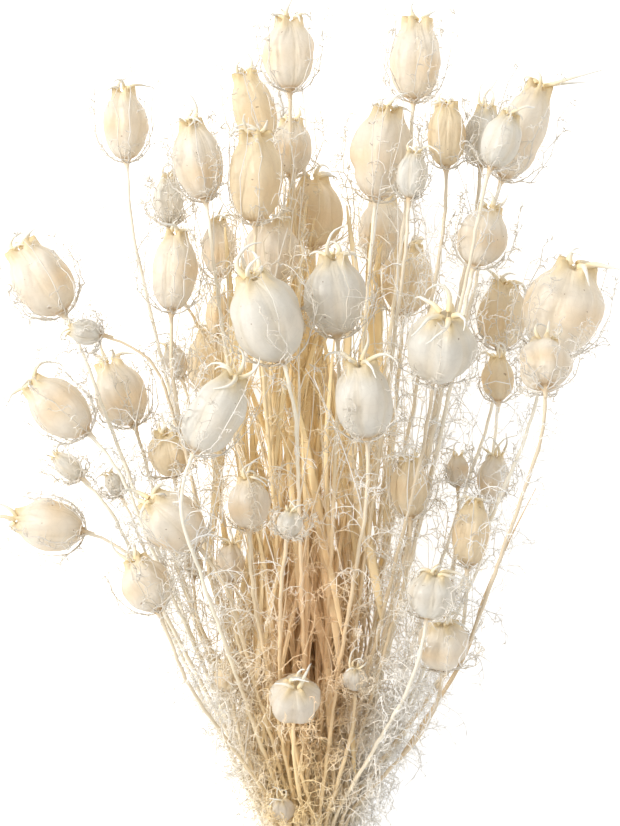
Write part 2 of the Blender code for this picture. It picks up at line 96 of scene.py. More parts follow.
# The tie
TIE_INNER = 12.9
TIE_OUTER = 14.6
TIE_HALF_WIDTH = 4.5
TIE_TURNS = 3
TIE_SIDES = 16
TIE_CENTRE = np.array([0.0, 0.0, TIE_OUTER * math.cos(math.pi / TIE_SIDES)])
TIE_ROOM = TIE_INNER * math.cos(math.pi / TIE_SIDES)
KNOT_MIDDLE = (1.5, 0.0, 29.6)
KNOT_HALF_SIZE = (3.6, 3.0, 2.4)
LOOSE_ENDS = [
    [KNOT_MIDDLE, (8, -3, 32.5), (14.5, -6, 30), (19, -9, 23.5), (20.5, -11, 16)],
    [KNOT_MIDDLE, (-6, -4, 31.8), (-12.5, -7.5, 28.5), (-17.5, -10, 22), (-19, -13, 17)],
]

# Stems and threads
STEM_RADIUS = 1.0
SHOOT_RADIUS = 0.75
STEM_TAPER = 0.75
STEM_GAP = 3.3
TIED_GAP = 2.75
TIED_RUN = 8
LOOSENING_RUN = 30
FLARE = 0.09
FLARE_POWER = 1.4
FLARE_END = 40
NECK_SETBACK = 5.0
RUN_IN = 13.0
RUN_IN_SIDEWAYS = 23.0
SHOOT_LENGTH = 38.0
THREAD_RADIUS = 0.45
THREAD_GAP = 1.2
LEAVES = 3
LEAF_LENGTH = (20, 34)
TRIES = 8

# Pods
LOBES = 5
LOBE_DEPTH = 0.09
BRACTS = 5
LEAST_BRACTS = 3
WIDTH_PER_BRACT = 4.2
HEAD_GAP = 1.6
STEM_TO_HEAD = 3.4
RESTING_BELOW = 20.0
NECK_BALL = 1.4
NECK_BALLS = (12, 6)
CROWN_BALL = 0.7
MIDDLE_BALL = 3
SMALL_BELOW = 7.0

# The photograph's frame, in millimetres on the bunch: its middle, its height and the plane it is measured on
PHOTO_MIDDLE_Y = 200.0
PHOTO_HEIGHT = 330.4
PHOTO_PLANE_Z = 75.0
SENSOR_HEIGHT = 36.0

# The stage, in metres: the floor, how far the camera sees, and each light's place, width and colour
FLOOR_RADIUS = 14.0
FLOOR_SIDES = 96
FAR_CLIP = 100.0
LIGHTS = {
    "key": ((-3.6, 1.4, 3.0), 1.6, (1.0, 0.99, 0.97)),
    "fill": ((3.4, -0.8, 3.6), 3.0, (0.95, 0.975, 1.0)),
}

# What each point of a spray belongs to, and the attribute that marks it on the mesh
POD, THREAD, STALK, BLADE = range(4)
MARKS = ("is_pod", "is_thread", "is_stalk", "is_blade")

# Finer pods: rings from base to top and steps round, and how far along and how wide each outline runs.
# Each row of the shoulder is how far along, the least width, and how much wider it is than the crown.
POD_RINGS = 23
POD_SIDES = 45
TALL_OUTLINE = [(-1.0, 0.0), (-0.975, 0.25), (-0.86, 0.55), (-0.56, 0.86), (-0.15, 1.0), (0.2, 0.99)]
SMALL_OUTLINE = [(-1.0, 0.0), (-0.95, 0.35), (-0.65, 0.78), (-0.2, 0.98), (0.25, 0.95), (0.6, 0.72),
                 (0.82, 0.44), (0.86, 0.28), (0.8, 0.0)]
SHOULDER = ((0.5, 0.86, 0.27), (0.72, 0.64, 0.16), (0.86, 0.0, 0.08), (0.93, 0.0, 0.0))
CROWN = 0.9
CROWN_SPAN = 0.1
CORNER_RISE = 0.17
CORNER_REACH = 0.11
CROWN_WIDTH = (0.3, 0.46)
CROWN_WIDTHS = {
    1: 0.42, 3: 0.46, 5: 0.46, 8: 0.46, 9: 0.34, 15: 0.46, 19: 0.3, 26: 0.3, 27: 0.34, 28: 0.4, 35: 0.4,
}
RIDGE_ROUNDING = 0.006
CORNER_SHARPNESS = 9

# The unevenness of a pod's wall: slow swells, by height, number round it and twist, and then dents
SWELLS = ((0.024, 2, 2.5), (0.018, 3, -4), (0.008, 7, 9))
SHRUNK = 0.02
DENTS = 6
CRUMPLED_DENTS = 18
DENT_DEPTH = 0.1
DENT_ALONG = (-0.7, 0.6)
DENT_WIDTH = (0.2, 0.5)
DENT_LENGTH = (0.12, 0.5)
CRUMPLED_LENGTH = (0.12, 0.24)
CRUMPLED = {9, 26, 52, 55}

# A pod's colours: how much the seeds show, and how far along the pod each colour lies and spreads
SEEDS_SHOW = {"bleached": 0.16, "cream": 0.62, "straw": 0.55}
SEED_SHIFT = (-0.1, 0.35)
SEED_SPREAD = 0.34
SEEDS_ALL_ROUND = 0.3
SEAM_SHARE = 0.4
TOP_MIDDLE = 0.95
TOP_SPREAD = 0.26
BASE_SHARE = 0.8
BASE_SPREAD = 0.1

# Buds in a dense net of bracts, by the numbers of their pods, and how many times more bracts they have
LACY_BUDS = {7, 16, 40, 43, 45, 57, 58}
LACY_BRACTS = 5.5

# Horns, with the tips of the two long ones that one pod has
HORN_STEPS = 8
HORN_CURL = 0.26
HORN_ROOT = 0.1
HORN_TIP = 0.2
HORN_SUNK = 0.12
HORN_STRETCH = (1.1, 2.5)
HORN_PALING = 1.7
LONG_HORNED_POD = 12
LONG_HORN_TIPS = ((119.0, 338.0, 68.0), (111.0, 333.0, 60.0))
LONG_HORN_LIFT = 3.0

# A broken stalk beside the bunch: the row whose stem it leaves, where it does, and the points that it passes
BARE_STALK_HOST = 53
BARE_STALK_ROOT = 62.0
BARE_STALK = ((61.0, 101.0, 72.0), (69.5, 126.0, 76.0), (80.0, 150.0, 80.0), (90.0, 170.0, 84.0))

# Stalks and threads
STALK_STEP = 4.5
SLIM = 0.95
STALK_WANDER = 0.16
STALK_GIRTHS = (0.88, 1.1)
STALK_END_RUN = (-5.0, -2.6, -1.0, 0.3)
STALK_END_WIDTH = 0.17
WANDER = 0.24
SPINE_POINTS = 9
TWIG_STEPS = 3
TINE_STEPS = 2
TWIG_FALL = 0.55
TWIG_SIZES = (0.5, 1.25)
TWIG_GIRTH = 0.75
FORK_SHARE = 0.55
TINE_SIZE = 0.5
TINE_GIRTH = 0.6
TINE_CURL = 1.8
LEAF_REACH = 9.0
LEAF_SPLAY = (0.4, 1.1)
LEAF_SIZES = (0.6, 1.15)
BARER_ABOVE = 2.6
BRACT_GREY = 0.6
BRACT_ROOT = 0.97
BRACT_WANDER = 0.8
BRACT_OUT = (1.0, 3.0)
BRACT_TIP_OUT = (1.5, 5.0)
BRACT_REACH = (-0.1, 1.2)
BLEACHED_BRACT_REACH = (-0.4, 0.5)
WISP_STEPS = 6
WISP_SHARE = 0.25
WISP_FORKS = (3, 5)
WISP_SPLAY = (0.05, 0.34)
WISP_SIZES = (0.7, 1.4)
WISP_WANDER = 0.06
WISPS_BELOW = 290.0
BLADE_STEPS = 9
BLADE_SPACING = 18.0
BLADE_LENGTH = (45.0, 100.0)
BLADES_BELOW = 285.0
LEAST_BLADE_WARMTH = 0.22
BLADES_UNDER = 82.0
BLADE_HALF_WIDTH = (0.9, 2.1)
BLADE_FLATNESS = 0.2
BLADE_TILT = 0.5
BLADE_SPLAY = (0.02, 0.1)
BLADE_WANDER = 0.03
BLADE_PULL_X = 0.004
BLADE_PULL_Z = 0.003
LOWEST_LEAF = 9.0
LEAFY_BELOW = 190.0
FRINGE_BELOW = 90.0
LEAFLESS_HEART = 0.5
THREAD_CLEARANCE = 0.5
FLOOR_CLEARANCE = 0.35
SPARE_SHARE = 0.022

# The heart of the bunch, straw-coloured partly from its less bleached stems and partly from painted warm
# glow of light bouncing among the threads: its middle line, its half widths and where along the bunch it
# lies
HEART_X = -4.0
HEART_Z = 50.0
HEART_HALF_WIDTH = 34.0
HEART_HALF_DEPTH = 48.0
HEART_FOOT = -20.0
HEART_TOP = 325.0
# Pods deep in the heart turn tan: partly their own less bleached tone, partly painted warm glow
HEART_TONE_AND_GLOW_ON_PODS = 0.3
HEART_LEAST = 0.25
HEART_NARROWEST = 0.35
HEART_WIDE_FROM = 200.0
HEART_FOOT_FADE = 60.0
HEART_TOP_FADE = 90.0
# An orange patch low in the heart, painted warm glow of light bouncing deep among the threads: its share,
# middle and half size
GLOW_PATCH_SHARE = 0.75
GLOW_PATCH_MIDDLE = (1.0, 112.0)
GLOW_PATCH_HALF_SIZE = (17.0, 48.0)

# The folds, veins and specks of a pod's wall
FOLDS_ROUND_AND_ALONG = (12.0, 2.2, 1.0)
FOLD_HEIGHT = 8.0
VEIN_SCALE = 260.0
SPECK_SCALE = 420.0
SPECK_COLOUR = (0.28, 0.17, 0.1, 1)

# The raffia
FIBRES = 7
LOOSE_FIBRES = 4
FIBRE_RADIUS = 0.4
FIBRE_SIDES = 5
TIE_STEPS = 56
TWISTS = 5
TWIST_DEPTH = 0.47
TWIST_WIDTH = 1.08
FRAY = (0.25, 1.6)

Layout = namedtuple("Layout", "centres lines rolls tips bracts leaves")

# x, y and z are the pod's middle, lean turns its tip from +Y towards +X and rise lifts it, in degrees.
# host is the row whose stem a side shoot leaves, or None for a stem of its own.
Head = namedtuple("Head", "x y z length width lean rise host", defaults=(0, None))
HEADS = [
    Head(-74, 315, 80, 28, 17, -3),
    Head(-8, 343, 85, 28, 20, 0),
    Head(-23, 325, 7.2, 30, 17, -15),
    Head(-44, 300, 98, 31, 19, -10, 5),
    Head(-22, 293, 100, 35, 21, 0),
    Head(-7, 306, 70, 22, 16, 0),
    Head(-57, 286, 58, 20, 12, 0, 0, 17),
    Head(41, 340, 80, 32, 20, 3),
    Head(30, 304, 86, 36, 24, 8),
    Head(40, 294, 114, 19, 12, 5),
    Head(54, 310, 100, 25, 15, 0, 5),
    Head(69, 310, 90, 23, 15, 5),
    Head(85, 313, 62, 40, 19, 22),
    Head(75, 307, 118, 22, 15, 20, 5),
    Head(-107, 253, 85, 31, 23, -33),
    Head(-89, 232, 103, 13, 10, -80, 0, 16),
    Head(-54, 256, 100, 31, 18, 3),
    Head(-37, 267, 42, 24, 13, 0),
    Head(-17, 237, 128, 36, 28, -20, 15),
    Head(-16, 264, 84, 26, 22, 5),
    Head(-100, 202, 90, 29, 20, -50),
    Head(-76, 208, 62, 27, 20, -22),
    Head(-54, 221, 72, 14, 9, -20, 0, 21),
    Head(-42, 221, 7.2, 24, 17, 0),
    Head(-37, 240, 56, 18, 10, 5, 0, 23),
    Head(-37, 200, 132, 33, 22, 28, 5),
    Head(10, 246, 112, 31, 23, -3, 5),
    Head(51, 226, 126, 30, 26, 10, 35),
    Head(100, 241, 98, 37, 30, 17, 10),
    Head(92, 219, 126, 22, 20, 0, -35),
    Head(68, 270, 98, 24, 19, 15),
    Head(39, 254, 50, 27, 21, 5),
    Head(79, 240, 8.5, 27, 20, 5),
    Head(76, 214, 48, 18, 13, 0),
    Head(21, 205, 122, 30, 23, -5, 10),
    Head(4, 211, 42, 22, 15, 0),
    Head(1, 281, 60, 28, 22, 0),
    Head(30, 275, 8.5, 26, 20, 0),
    Head(-104, 155, 84, 27, 20, -80),
    Head(-97, 179, 64, 14, 9, -50),
    Head(-54, 157, 110, 27, 22, -45, 20),
    Head(-56, 184, 74, 19, 17, -10, 25),
    Head(-79, 171, 62, 10, 8, -30, 0, 39),
    Head(-24, 164, 98, 20, 16, 0),
    Head(-8, 157, 122, 11, 10, 10, 20),
    Head(-65, 132, 99, 22, 19, -25),
    Head(-32, 140, 66, 16, 11, 0),
    Head(-47, 139, 58, 10, 8, 0, 0, 46),
    Head(40, 170, 85, 23, 15, 0),
    Head(74, 174, 58, 19, 13, 5),
    Head(64, 152, 84, 26, 15, 5),
    Head(48, 128, 104, 19, 18, 10, 20),
    Head(60, 177, 42, 13, 9, 0, 0, 49),
    Head(53, 108, 85, 21, 20, 0, 30),
    Head(-6, 86, 84, 20, 20, 5, 50),
    Head(-33, 94, 60, 13, 11, -10),
    Head(18, 94, 76, 10.5, 10, 0, 30),
    Head(-11, 40, 45, 12, 9, -10, 42),
]
COUNT = len(HEADS)

# The stems that have bleached the most and the least, by the numbers in their names
BLEACHED = {10, 12, 14, 19, 26, 27, 28, 35, 52, 55}
STRAW = {3, 5, 11, 24, 32, 33, 34, 36, 37, 42, 49, 51, 56}
OWNER = [i if head.host is None else head.host for i, head in enumerate(HEADS)]


def axis_of(head):
    """The unit vector from a pod's base to its tip."""
    lean = math.radians(head.lean)
    rise = math.radians(head.rise)
    return np.array([math.sin(lean) * math.cos(rise), math.cos(lean) * math.cos(rise), math.sin(rise)])


AXES = np.array([axis_of(head) for head in HEADS])
HALF_WIDTHS = np.array([head.width / 2 for head in HEADS])
HALF_LENGTHS = np.array([head.length / 2 for head in HEADS])


def balls_of(centres):
    """Balls that fill each pod, its crown and the top of its stem: their middles and their radii."""
    reach = np.maximum(HALF_LENGTHS - HALF_WIDTHS, 0)
    neck = np.full(COUNT, NECK_BALL)
    along = [-HALF_LENGTHS - off for off in NECK_BALLS] + [-reach, 0 * reach, reach, HALF_LENGTHS + 2]
    along = np.stack(along, axis=1)
    radii = np.stack([neck, neck, HALF_WIDTHS, HALF_WIDTHS, HALF_WIDTHS, CROWN_BALL * HALF_WIDTHS], axis=1)
    return centres[:, None] + along[:, :, None] * AXES[:, None], radii


def settle_heads():
    """The pods' middles, eased apart until no two touch. Pods that lie on the table stay down."""
    centres = np.array([[head.x, head.y, head.z] for head in HEADS], float)
    ease = np.array(HEAD_EASE) * np.ones((COUNT, 1))
    ease[centres[:, 2] < RESTING_BELOW, 2] = 0
    other = ~np.eye(COUNT, dtype=bool)[:, None, :, None]
    for _ in range(HEAD_TURNS):
        middles, radii = balls_of(centres)
        apart = middles[:, :, None, None] - middles[None, None]
        distance = np.linalg.norm(apart, axis=-1) + 1e-9
        lack = np.maximum(radii[:, :, None, None] + radii + HEAD_GAP - distance, 0) * other
        centres += HEAD_SHARE * ease * (apart / distance[..., None] * lack[..., None]).sum(axis=(1, 2, 3))
    return centres


def tied_spots(necks):
    """Where each stem passes through the tie: the more it slants away from the others, the further out."""
    slants = (necks[:, [0, 2]] - TIE_CENTRE[[0, 2]]) / (necks[:, 1:2] + 50)
    slants -= np.median(slants, axis=0)
    rank = np.argsort(np.argsort(np.linalg.norm(slants, axis=1)))
    radius = (TIE_INNER - STEM_RADIUS) * np.sqrt((rank + 0.5) / COUNT)
    return TIE_CENTRE[[0, 2]] + slants / np.linalg.norm(slants, axis=1, keepdims=True) * radius[:, None]


def route_stems(centres):
    """Each stem's centreline from its cut end, or its fork, to the base of its pod.

    The stems are points in slices across the bunch. They are eased straight, and apart from each other,
    from the pods and from the table, and the slices within the tie keep inside it.
    """
    levels = np.arange(CUT_END, TOP_LEVEL, LEVEL_STEP)
    bases = centres - AXES * HALF_LENGTHS[:, None]
    run_in = RUN_IN + (RUN_IN_SIDEWAYS - RUN_IN) * np.abs(AXES[:, 0])
    necks = bases - AXES * run_in[:, None] - np.array([0, NECK_SETBACK, 0])
    is_shoot = np.array([head.host is not None for head in HEADS])
    first = np.where(is_shoot, (necks[:, 1] - SHOOT_LENGTH - CUT_END) / LEVEL_STEP, 0).astype(int)
    last = ((necks[:, 1] - 5 - CUT_END) / LEVEL_STEP).astype(int)
    steps = np.arange(len(levels))[:, None]
    live = (steps >= first) & (steps <= last)
    at_last = steps == last

    share = np.clip(levels[:, None] / necks[None, :, 1], 0, 1)
    tied = tied_spots(necks)
    spots = tied + share[..., None] * (necks[:, [0, 2]] - tied)

    both = live[:-1] & live[1:]
    pairs = np.array(np.nonzero(both[:, :, None] & both[:, None, :] & np.less.outer(OWNER, OWNER)))
    loose = np.clip((np.abs(levels + LEVEL_STEP / 2) - TIED_RUN) / LOOSENING_RUN, 0, 1)
    gaps = TIED_GAP + (STEM_GAP - TIED_GAP) * loose
    middles, radii = balls_of(centres)
    middles = middles.reshape(-1, 3)
    off_slice = levels[:, None] - middles[:, 1]
    slice_radius = np.sqrt(np.maximum((radii.ravel() + STEM_TO_HEAD) ** 2 - off_slice ** 2, 0))
    ball_of = np.repeat(np.arange(COUNT), radii.shape[1])
    near = live[:, :, None] & (slice_radius > 0)[:, None, :] & (ball_of != np.arange(COUNT)[:, None])
    ball_level, stem, ball = np.nonzero(near)
    past_tie = np.maximum(np.abs(levels) - TIE_HALF_WIDTH - 2, 0)
    bound = (TIE_ROOM - STEM_RADIUS - 0.4 + FLARE * past_tie ** FLARE_POWER)[:, None, None]
    bound[levels > FLARE_END] = math.inf

    for turn in range(TURNS):
        push = np.zeros_like(spots)
        if turn % TURNS_PER_SEARCH == 0:
            level, one, two = pairs
            close = np.linalg.norm(spots[level, one] - spots[level, two], axis=1) < 4 * STEM_GAP
            level, one, two = pairs[:, close]
        start = spots[level, one] - spots[level, two]
        change = spots[level + 1, one] - spots[level + 1, two] - start
        nearest = -(start * change).sum(axis=1) / ((change ** 2).sum(axis=1) + 1e-9)
        nearest = np.clip(nearest, 0, 1)[:, None]
        wanted = gaps[level] * min(1, GAP_START + turn / GAP_TURNS)
        apart = STEM_SHARE * lacking(start + nearest * change, wanted)
        for stem_of, sign in ((one, 1), (two, -1)):
            np.add.at(push, (level, stem_of), sign * (1 - nearest) * apart)
            np.add.at(push, (level + 1, stem_of), sign * nearest * apart)
        off = spots[ball_level, stem] - middles[ball][:, [0, 2]]
        np.add.at(push, (ball_level, stem), HEAD_PUSH * lacking(off, slice_radius[ball_level, ball]))
        if turn < TURNS - UNEASED_TURNS:
            ease = EASE * (1 - turn / TURNS) ** 1.5
            above = np.where(at_last[..., None], necks[None][..., [0, 2]], np.roll(spots, -1, axis=0))
            below = np.where((steps == first)[..., None], spots, np.roll(spots, 1, axis=0))
            below[0] = 2 * spots[0] - spots[1]
            push += ease * (above + below - 2 * spots) * live[..., None]
        spots += push
        spots[..., 1] = np.maximum(spots[..., 1], STEM_RADIUS + 0.6)
        out = spots - TIE_CENTRE[[0, 2]]
        radius = np.linalg.norm(out, axis=-1, keepdims=True) + 1e-9
        spots = TIE_CENTRE[[0, 2]] + out * np.minimum(bound / radius, 1)
        for i in np.flatnonzero(is_shoot):
            spots[first[i], i] = spots[first[i], OWNER[i]]

    lines = []
    for i in range(COUNT):
        rows = range(first[i], last[i] + 1)
        line = [np.array([spots[s, i, 0], levels[s], spots[s, i, 1]]) for s in rows]
        line += [necks[i] + np.array([0, 2.0, 0]), bases[i] - AXES[i] * 0.45 * run_in[i], bases[i] + AXES[i]]
        lines.append(rounded(np.array(line)))
    return lines


def lacking(apart, wanted):
    """The way that each pair still has to move apart to be as far from each other as is wanted."""
    distance = np.linalg.norm(apart, axis=-1) + 1e-6
    return apart * (np.maximum(wanted - distance, 0) / distance)[:, None]


def rounded(line):
    """A line with its corners eased near the pod, its ends kept."""
    for _ in range(2):
        line[-5:-1] = 0.25 * line[-6:-2] + 0.5 * line[-5:-1] + 0.25 * line[-4:]
    return line


def resampled(line, step):
    """Points at about every step along a line."""
    lengths = np.concatenate([[0], np.cumsum(np.linalg.norm(np.diff(line, axis=0), axis=1))])
    at = np.linspace(0, lengths[-1], max(2, int(lengths[-1] / step) + 1))
    return np.stack([np.interp(at, lengths, line[:, k]) for k in range(3)], axis=1)


class Room:
    """What is already placed: points on stems and threads, and the pods, each with the stem that owns it."""

    def __init__(self, centres, lines):
        self.points = np.zeros((0, 3))
        self.radii = np.zeros(0)
        self.owners = np.zeros(0, int)
        self.middles, radii = balls_of(centres)
        self.ball_radii = radii * (1 + LOBE_DEPTH)
        for i, line in enumerate(lines):
            self.add(resampled(line, 1.5), STEM_RADIUS, OWNER[i])

    def add(self, points, radius, owner):
        self.points = np.vstack([self.points, points])
        self.radii = np.append(self.radii, np.full(len(points), radius))
        self.owners = np.append(self.owners, np.full(len(points), owner))

    def clear(self, points, owner):
        """Whether a thread along these points keeps clear of every other stem's pieces and the table."""
        if points[:, 2].min() < THREAD_RADIUS + 0.3:
            return False
        low = points.min(axis=0) - 4
        high = points.max(axis=0) + 4
        near = (self.owners != owner) & (self.points > low).all(axis=1) & (self.points < high).all(axis=1)
        apart = np.linalg.norm(points[:, None] - self.points[near][None], axis=-1)
        if (apart < self.radii[near] + THREAD_RADIUS + THREAD_GAP).any():
            return False
        pods = np.array(OWNER) != owner
        apart = np.linalg.norm(points[:, None, None] - self.middles[pods][None], axis=-1)
        return not (apart < self.ball_radii[pods] + THREAD_RADIUS + THREAD_GAP).any()


def cross_axes(axis):
    """Two unit vectors square to an axis and to each other."""
    side = np.cross(axis, [0.0, 0.0, 1.0])
    side /= np.linalg.norm(side)
    return side, np.cross(side, axis)


def place_thread(room, owner, make):
    """The first of several threads that has room, or None. make returns the points of each try."""
    for attempt in range(TRIES):
        points = make(attempt)
        if room.clear(resampled(points, 1.2)[2:], owner):
            room.add(resampled(points, 1.5), THREAD_RADIUS, owner)
            return points
    return None


def around(i, angle):
    """The way out from a pod's axis at an angle round it. Angle 0 is straight down on a level pod."""
    side, up = cross_axes(AXES[i])
    return side * math.sin(angle) - up * math.cos(angle)


def horn_tips(room, i, centre, roll, draw):
    """Where the horn of each lobe ends, short where another stem's piece is in the way."""
    tips = []
    for k in range(LOBES):
        out = around(i, roll + 2 * math.pi * k / LOBES)
        root = centre + AXES[i] * HALF_LENGTHS[i] * 0.7 + out * HALF_WIDTHS[i] * 0.45
        reach = (1 + 0.3 * HALF_WIDTHS[i]) * draw.uniform(0.8, 1.7)
        for share in (1, 0.7, 0.4, 0.1):
            tip = root + AXES[i] * (HALF_LENGTHS[i] * 0.3 + reach * share) + out * 0.6 * reach * share
            points = np.linspace(root, tip, 9)
            if room.clear(points[3:], OWNER[i]) or share == 0.1:
                break
        room.add(points, THREAD_RADIUS, OWNER[i])
        tips.append(tip)
    return tips


def bract_threads(room, i, centre, draw):
    """The finely cut bracts below a pod, which spread and then curve up round it like a cage."""
    half_length = AXES[i] * HALF_LENGTHS[i]
    width = HALF_WIDTHS[i] * (1 + LOBE_DEPTH)
    found = []
    count = min(max(round(HEADS[i].width / WIDTH_PER_BRACT), LEAST_BRACTS), BRACTS)
    start = draw.uniform(0, 2 * math.pi)
    for k in range(count):
        reach = draw.uniform(0.7, 1.35)

        def bract(attempt):
            out = around(i, start + 2 * math.pi * k / count + 0.3 * attempt * (-1) ** attempt)
            shrink = 1 - 0.08 * attempt
            return np.array([
                centre - half_length * 0.75 + out * width * 0.25,
                centre - half_length * 0.5 * shrink + out * (width + 1.6),
                centre + half_length * reach * shrink + out * (width + 2.4),
            ])

        found.append(place_thread(room, OWNER[i], bract))
    return [thread for thread in found if thread is not None]


def leaf_threads(room, i, line, draw):
    """The thread-like leaves that leave a stem along its length and point up and outwards."""
    run = resampled(line, 4.0)
    run = run[(run[:, 1] > 16) & (run[:, 1] < run[-1, 1] - 24)]
    found = []
    for _ in range(LEAVES if len(run) > 20 else 1):
        if len(run) < 6:
            break
        root = run[int(len(run) * draw.uniform(0.05, 0.95))]
        turn = draw.uniform(0, 2 * math.pi)
        reach = draw.uniform(*LEAF_LENGTH)

        def leaf(attempt):
            angle = turn + 1.1 * attempt
            out = np.array([math.cos(angle), 0, math.sin(angle)])
            forward = np.array([0, 1.0, 0])
            far = reach * (1 - 0.09 * attempt)
            halfway = root + (out * 0.45 + forward * 0.3) * far
            return np.array([root, halfway, root + (out * 0.6 + forward) * far])

        found.append(place_thread(room, OWNER[i], leaf))
    return [thread for thread in found if thread is not None]


@functools.cache
def layout():
    """Where everything grows, worked out once, as in the CAD source."""
    centres = settle_heads()
    lines = route_stems(centres)
    room = Room(centres, lines)
    draw = random.Random(SEED)
    rolls = [0 if centre[2] < RESTING_BELOW else draw.uniform(0, 2 * math.pi) for centre in centres]
    tips = [horn_tips(room, i, centres[i], rolls[i], draw) for i in range(COUNT)]
    bracts = [bract_threads(room, i, centres[i], draw) for i in range(COUNT)]
    leaves = [leaf_threads(room, i, lines[i], draw) for i in range(COUNT)]
    return Layout(centres, lines, rolls, tips, bracts, leaves)


def smooth(points, count):
    """Evenly spread points on a smooth curve through a few given ones."""
    points = np.asarray(points, float)
    ends = [2 * points[0] - points[1], 2 * points[-1] - points[-2]]
    padded = np.vstack([ends[0], points, ends[1]])
    at = np.linspace(0, len(points) - 1, count)
    span = np.minimum(at.astype(int), len(points) - 2)
    t = (at - span)[:, None]
    a, b, c, d = (padded[span + k] for k in range(4))
    bend = (2 * a - 5 * b + 4 * c - d) * t ** 2
    return 0.5 * (2 * b + (c - a) * t + bend + (3 * b - a - 3 * c + d) * t ** 3)


def blend(one, two, share):
    """A mix of two colours, or of rows of colours, with a share for each row."""
    share = np.clip(np.asarray(share, float), 0, 1)[..., None]
    return np.asarray(one) * (1 - share) + np.asarray(two) * share


def any_way(draw):
    """A random direction."""
    return Vector((draw.gauss(0, 1), draw.gauss(0, 1), draw.gauss(0, 1))).normalized()


def sideways(draw):
    """A random direction square to the bunch."""
    turn = draw.uniform(0, 2 * math.pi)
    return Vector((math.cos(turn), 0, math.sin(turn)))


def curled(start, heading, length, steps, curl, draw, wander=WANDER):
    """A thread's points. It turns about one axis as it grows, and wanders a little."""
    points = [Vector(start)]
    heading = Vector(heading).normalized()
    axis = heading.cross(any_way(draw)).normalized()
    for _ in range(steps):
        heading = Quaternion(axis, curl * draw.uniform(0.3, 1.7)) @ heading
        heading = (heading + wander * any_way(draw)).normalized()
        points.append(points[-1] + heading * (length / steps))
    return points


def scattered(count, spread, draw):
    """Small random steps, one for each point of a line."""
    return np.array([[draw.gauss(0, spread) for _ in range(3)] for _ in range(count)])


def tapered(girth, count, tip=0.35):
    """A thread's radius at each point, from its root to its tip."""
    return list(np.linspace(girth, tip * girth, count))


def frond(spine, girth, reach, fullness, curl, draw, facing=None):
    """A finely cut leaf: a spine with side threads that fork and curl, as lines of points and radii."""
    spine = [Vector(point) for point in spine]
    lines = [(spine, tapered(girth, len(spine)))]
    for k in range(1, len(spine) - 1):
        along = (spine[k + 1] - spine[k - 1]).normalized()
        flat = Vector(facing[k]) if facing is not None else any_way(draw)
        across = along.cross(flat).normalized()
        left = 1 - TWIG_FALL * k / len(spine)
        for side in (-1, 1):
            if draw.random() > fullness:
                continue
            heading = 0.55 * along + 0.75 * side * across + 0.4 * any_way(draw)
            length = reach * left * draw.uniform(*TWIG_SIZES)
            twig = curled(spine[k], heading, length, TWIG_STEPS, curl, draw)
            lines.append((twig, tapered(TWIG_GIRTH * girth, len(twig))))
            for fork in range(1, TWIG_STEPS):
                if draw.random() > FORK_SHARE:
                    continue
                onward = (twig[fork + 1] - twig[fork]).normalized()
                heading = onward + 0.9 * any_way(draw)
                tine = curled(twig[fork], heading, TINE_SIZE * length, TINE_STEPS, TINE_CURL * curl, draw)
                lines.append((tine, tapered(TINE_GIRTH * girth, len(tine))))
    return lines


class Spray:
    """What one piece is made of: the faces of its pods, and the lines that become its stalks and threads."""

    def __init__(self):
        self.points = []
        self.faces = []
        self.face_places = []
        self.edges = []
        self.tints = []
        self.girths = []
        self.kinds = []
        self.tilts = []

    def add_shell(self, points, faces, places, tints):
        """Faces, with a place on the UV map for each of their corners."""
        first = len(self.points)
        self.points += [tuple(point) for point in points]
        self.faces += [tuple(corner + first for corner in face) for face in faces]
        self.face_places += places
        self.tints += [tuple(tint) for tint in tints]
        self.girths += [0.0] * len(points)
        self.kinds += [POD] * len(points)
        self.tilts += [0.0] * len(points)

    def add_line(self, points, girths, kind, tints, tilt=0.0):
        """A line that becomes a stalk, a thread or a blade, with its radius at each point."""
        first = len(self.points)
        self.points += [tuple(point) for point in points]
        self.edges += [(first + k, first + k + 1) for k in range(len(points) - 1)]
        self.tints += [tuple(tint) for tint in tints]
        self.girths += list(girths)
        self.kinds += [kind] * len(points)
        self.tilts += [tilt] * len(points)

    def keep_clear(self, middles, radii):
        """Pushes threads out of every pod, and all points off the floor and near the CAD model's box."""
        points = np.array(self.points)
        threads = np.isin(self.kinds, (THREAD, BLADE))
        loose = points[threads]
        for balls, sizes in zip(middles, radii * (1 + LOBE_DEPTH) + THREAD_CLEARANCE):
            middle = balls[MIDDLE_BALL]
            reach = np.abs(balls - middle).max() + sizes.max()
            near = np.flatnonzero((np.abs(loose - middle) < reach).all(axis=1))
            for ball, size in zip(balls, sizes):
                apart = loose[near] - ball
                distance = np.linalg.norm(apart, axis=1, keepdims=True) + 1e-6
                loose[near] = ball + apart * np.maximum(1, size / distance)
        points[threads] = loose
        low, high = np.array(CAD_BOX) / MM
        spare = SPARE_SHARE * (high - low)
        low = np.array([low[0] - spare[0], low[1] - spare[1], FLOOR_CLEARANCE])
        points = np.clip(points, low, high + spare)
        self.points = [tuple(point) for point in points]

    def as_mesh(self, name):
        """A mesh of the pods' faces and of bare edges, with the attributes that the tree reads."""
        mesh = bpy.data.meshes.new(name)
        mesh.from_pydata([Vector(point) * MM for point in self.points], self.edges, self.faces)
        tint = mesh.attributes.new("tint", "FLOAT_COLOR", "POINT")
        tint.data.foreach_set("color", np.hstack([self.tints, np.ones((len(self.tints), 1))]).ravel())
        girth = mesh.attributes.new("girth", "FLOAT", "POINT")
        girth.data.foreach_set("value", np.array(self.girths) * MM)
        tilt = mesh.attributes.new("tilt", "FLOAT", "POINT")
        tilt.data.foreach_set("value", np.array(self.tilts))
        kinds = np.array(self.kinds)
        for kind, mark in enumerate(MARKS):
            made = mesh.attributes.new(mark, "BOOLEAN", "POINT")
            made.data.foreach_set("value", kinds == kind)
        chart = mesh.uv_layers.new(name="pod_chart")
        chart.data.foreach_set("uv", np.array(self.face_places).ravel())
        return mesh


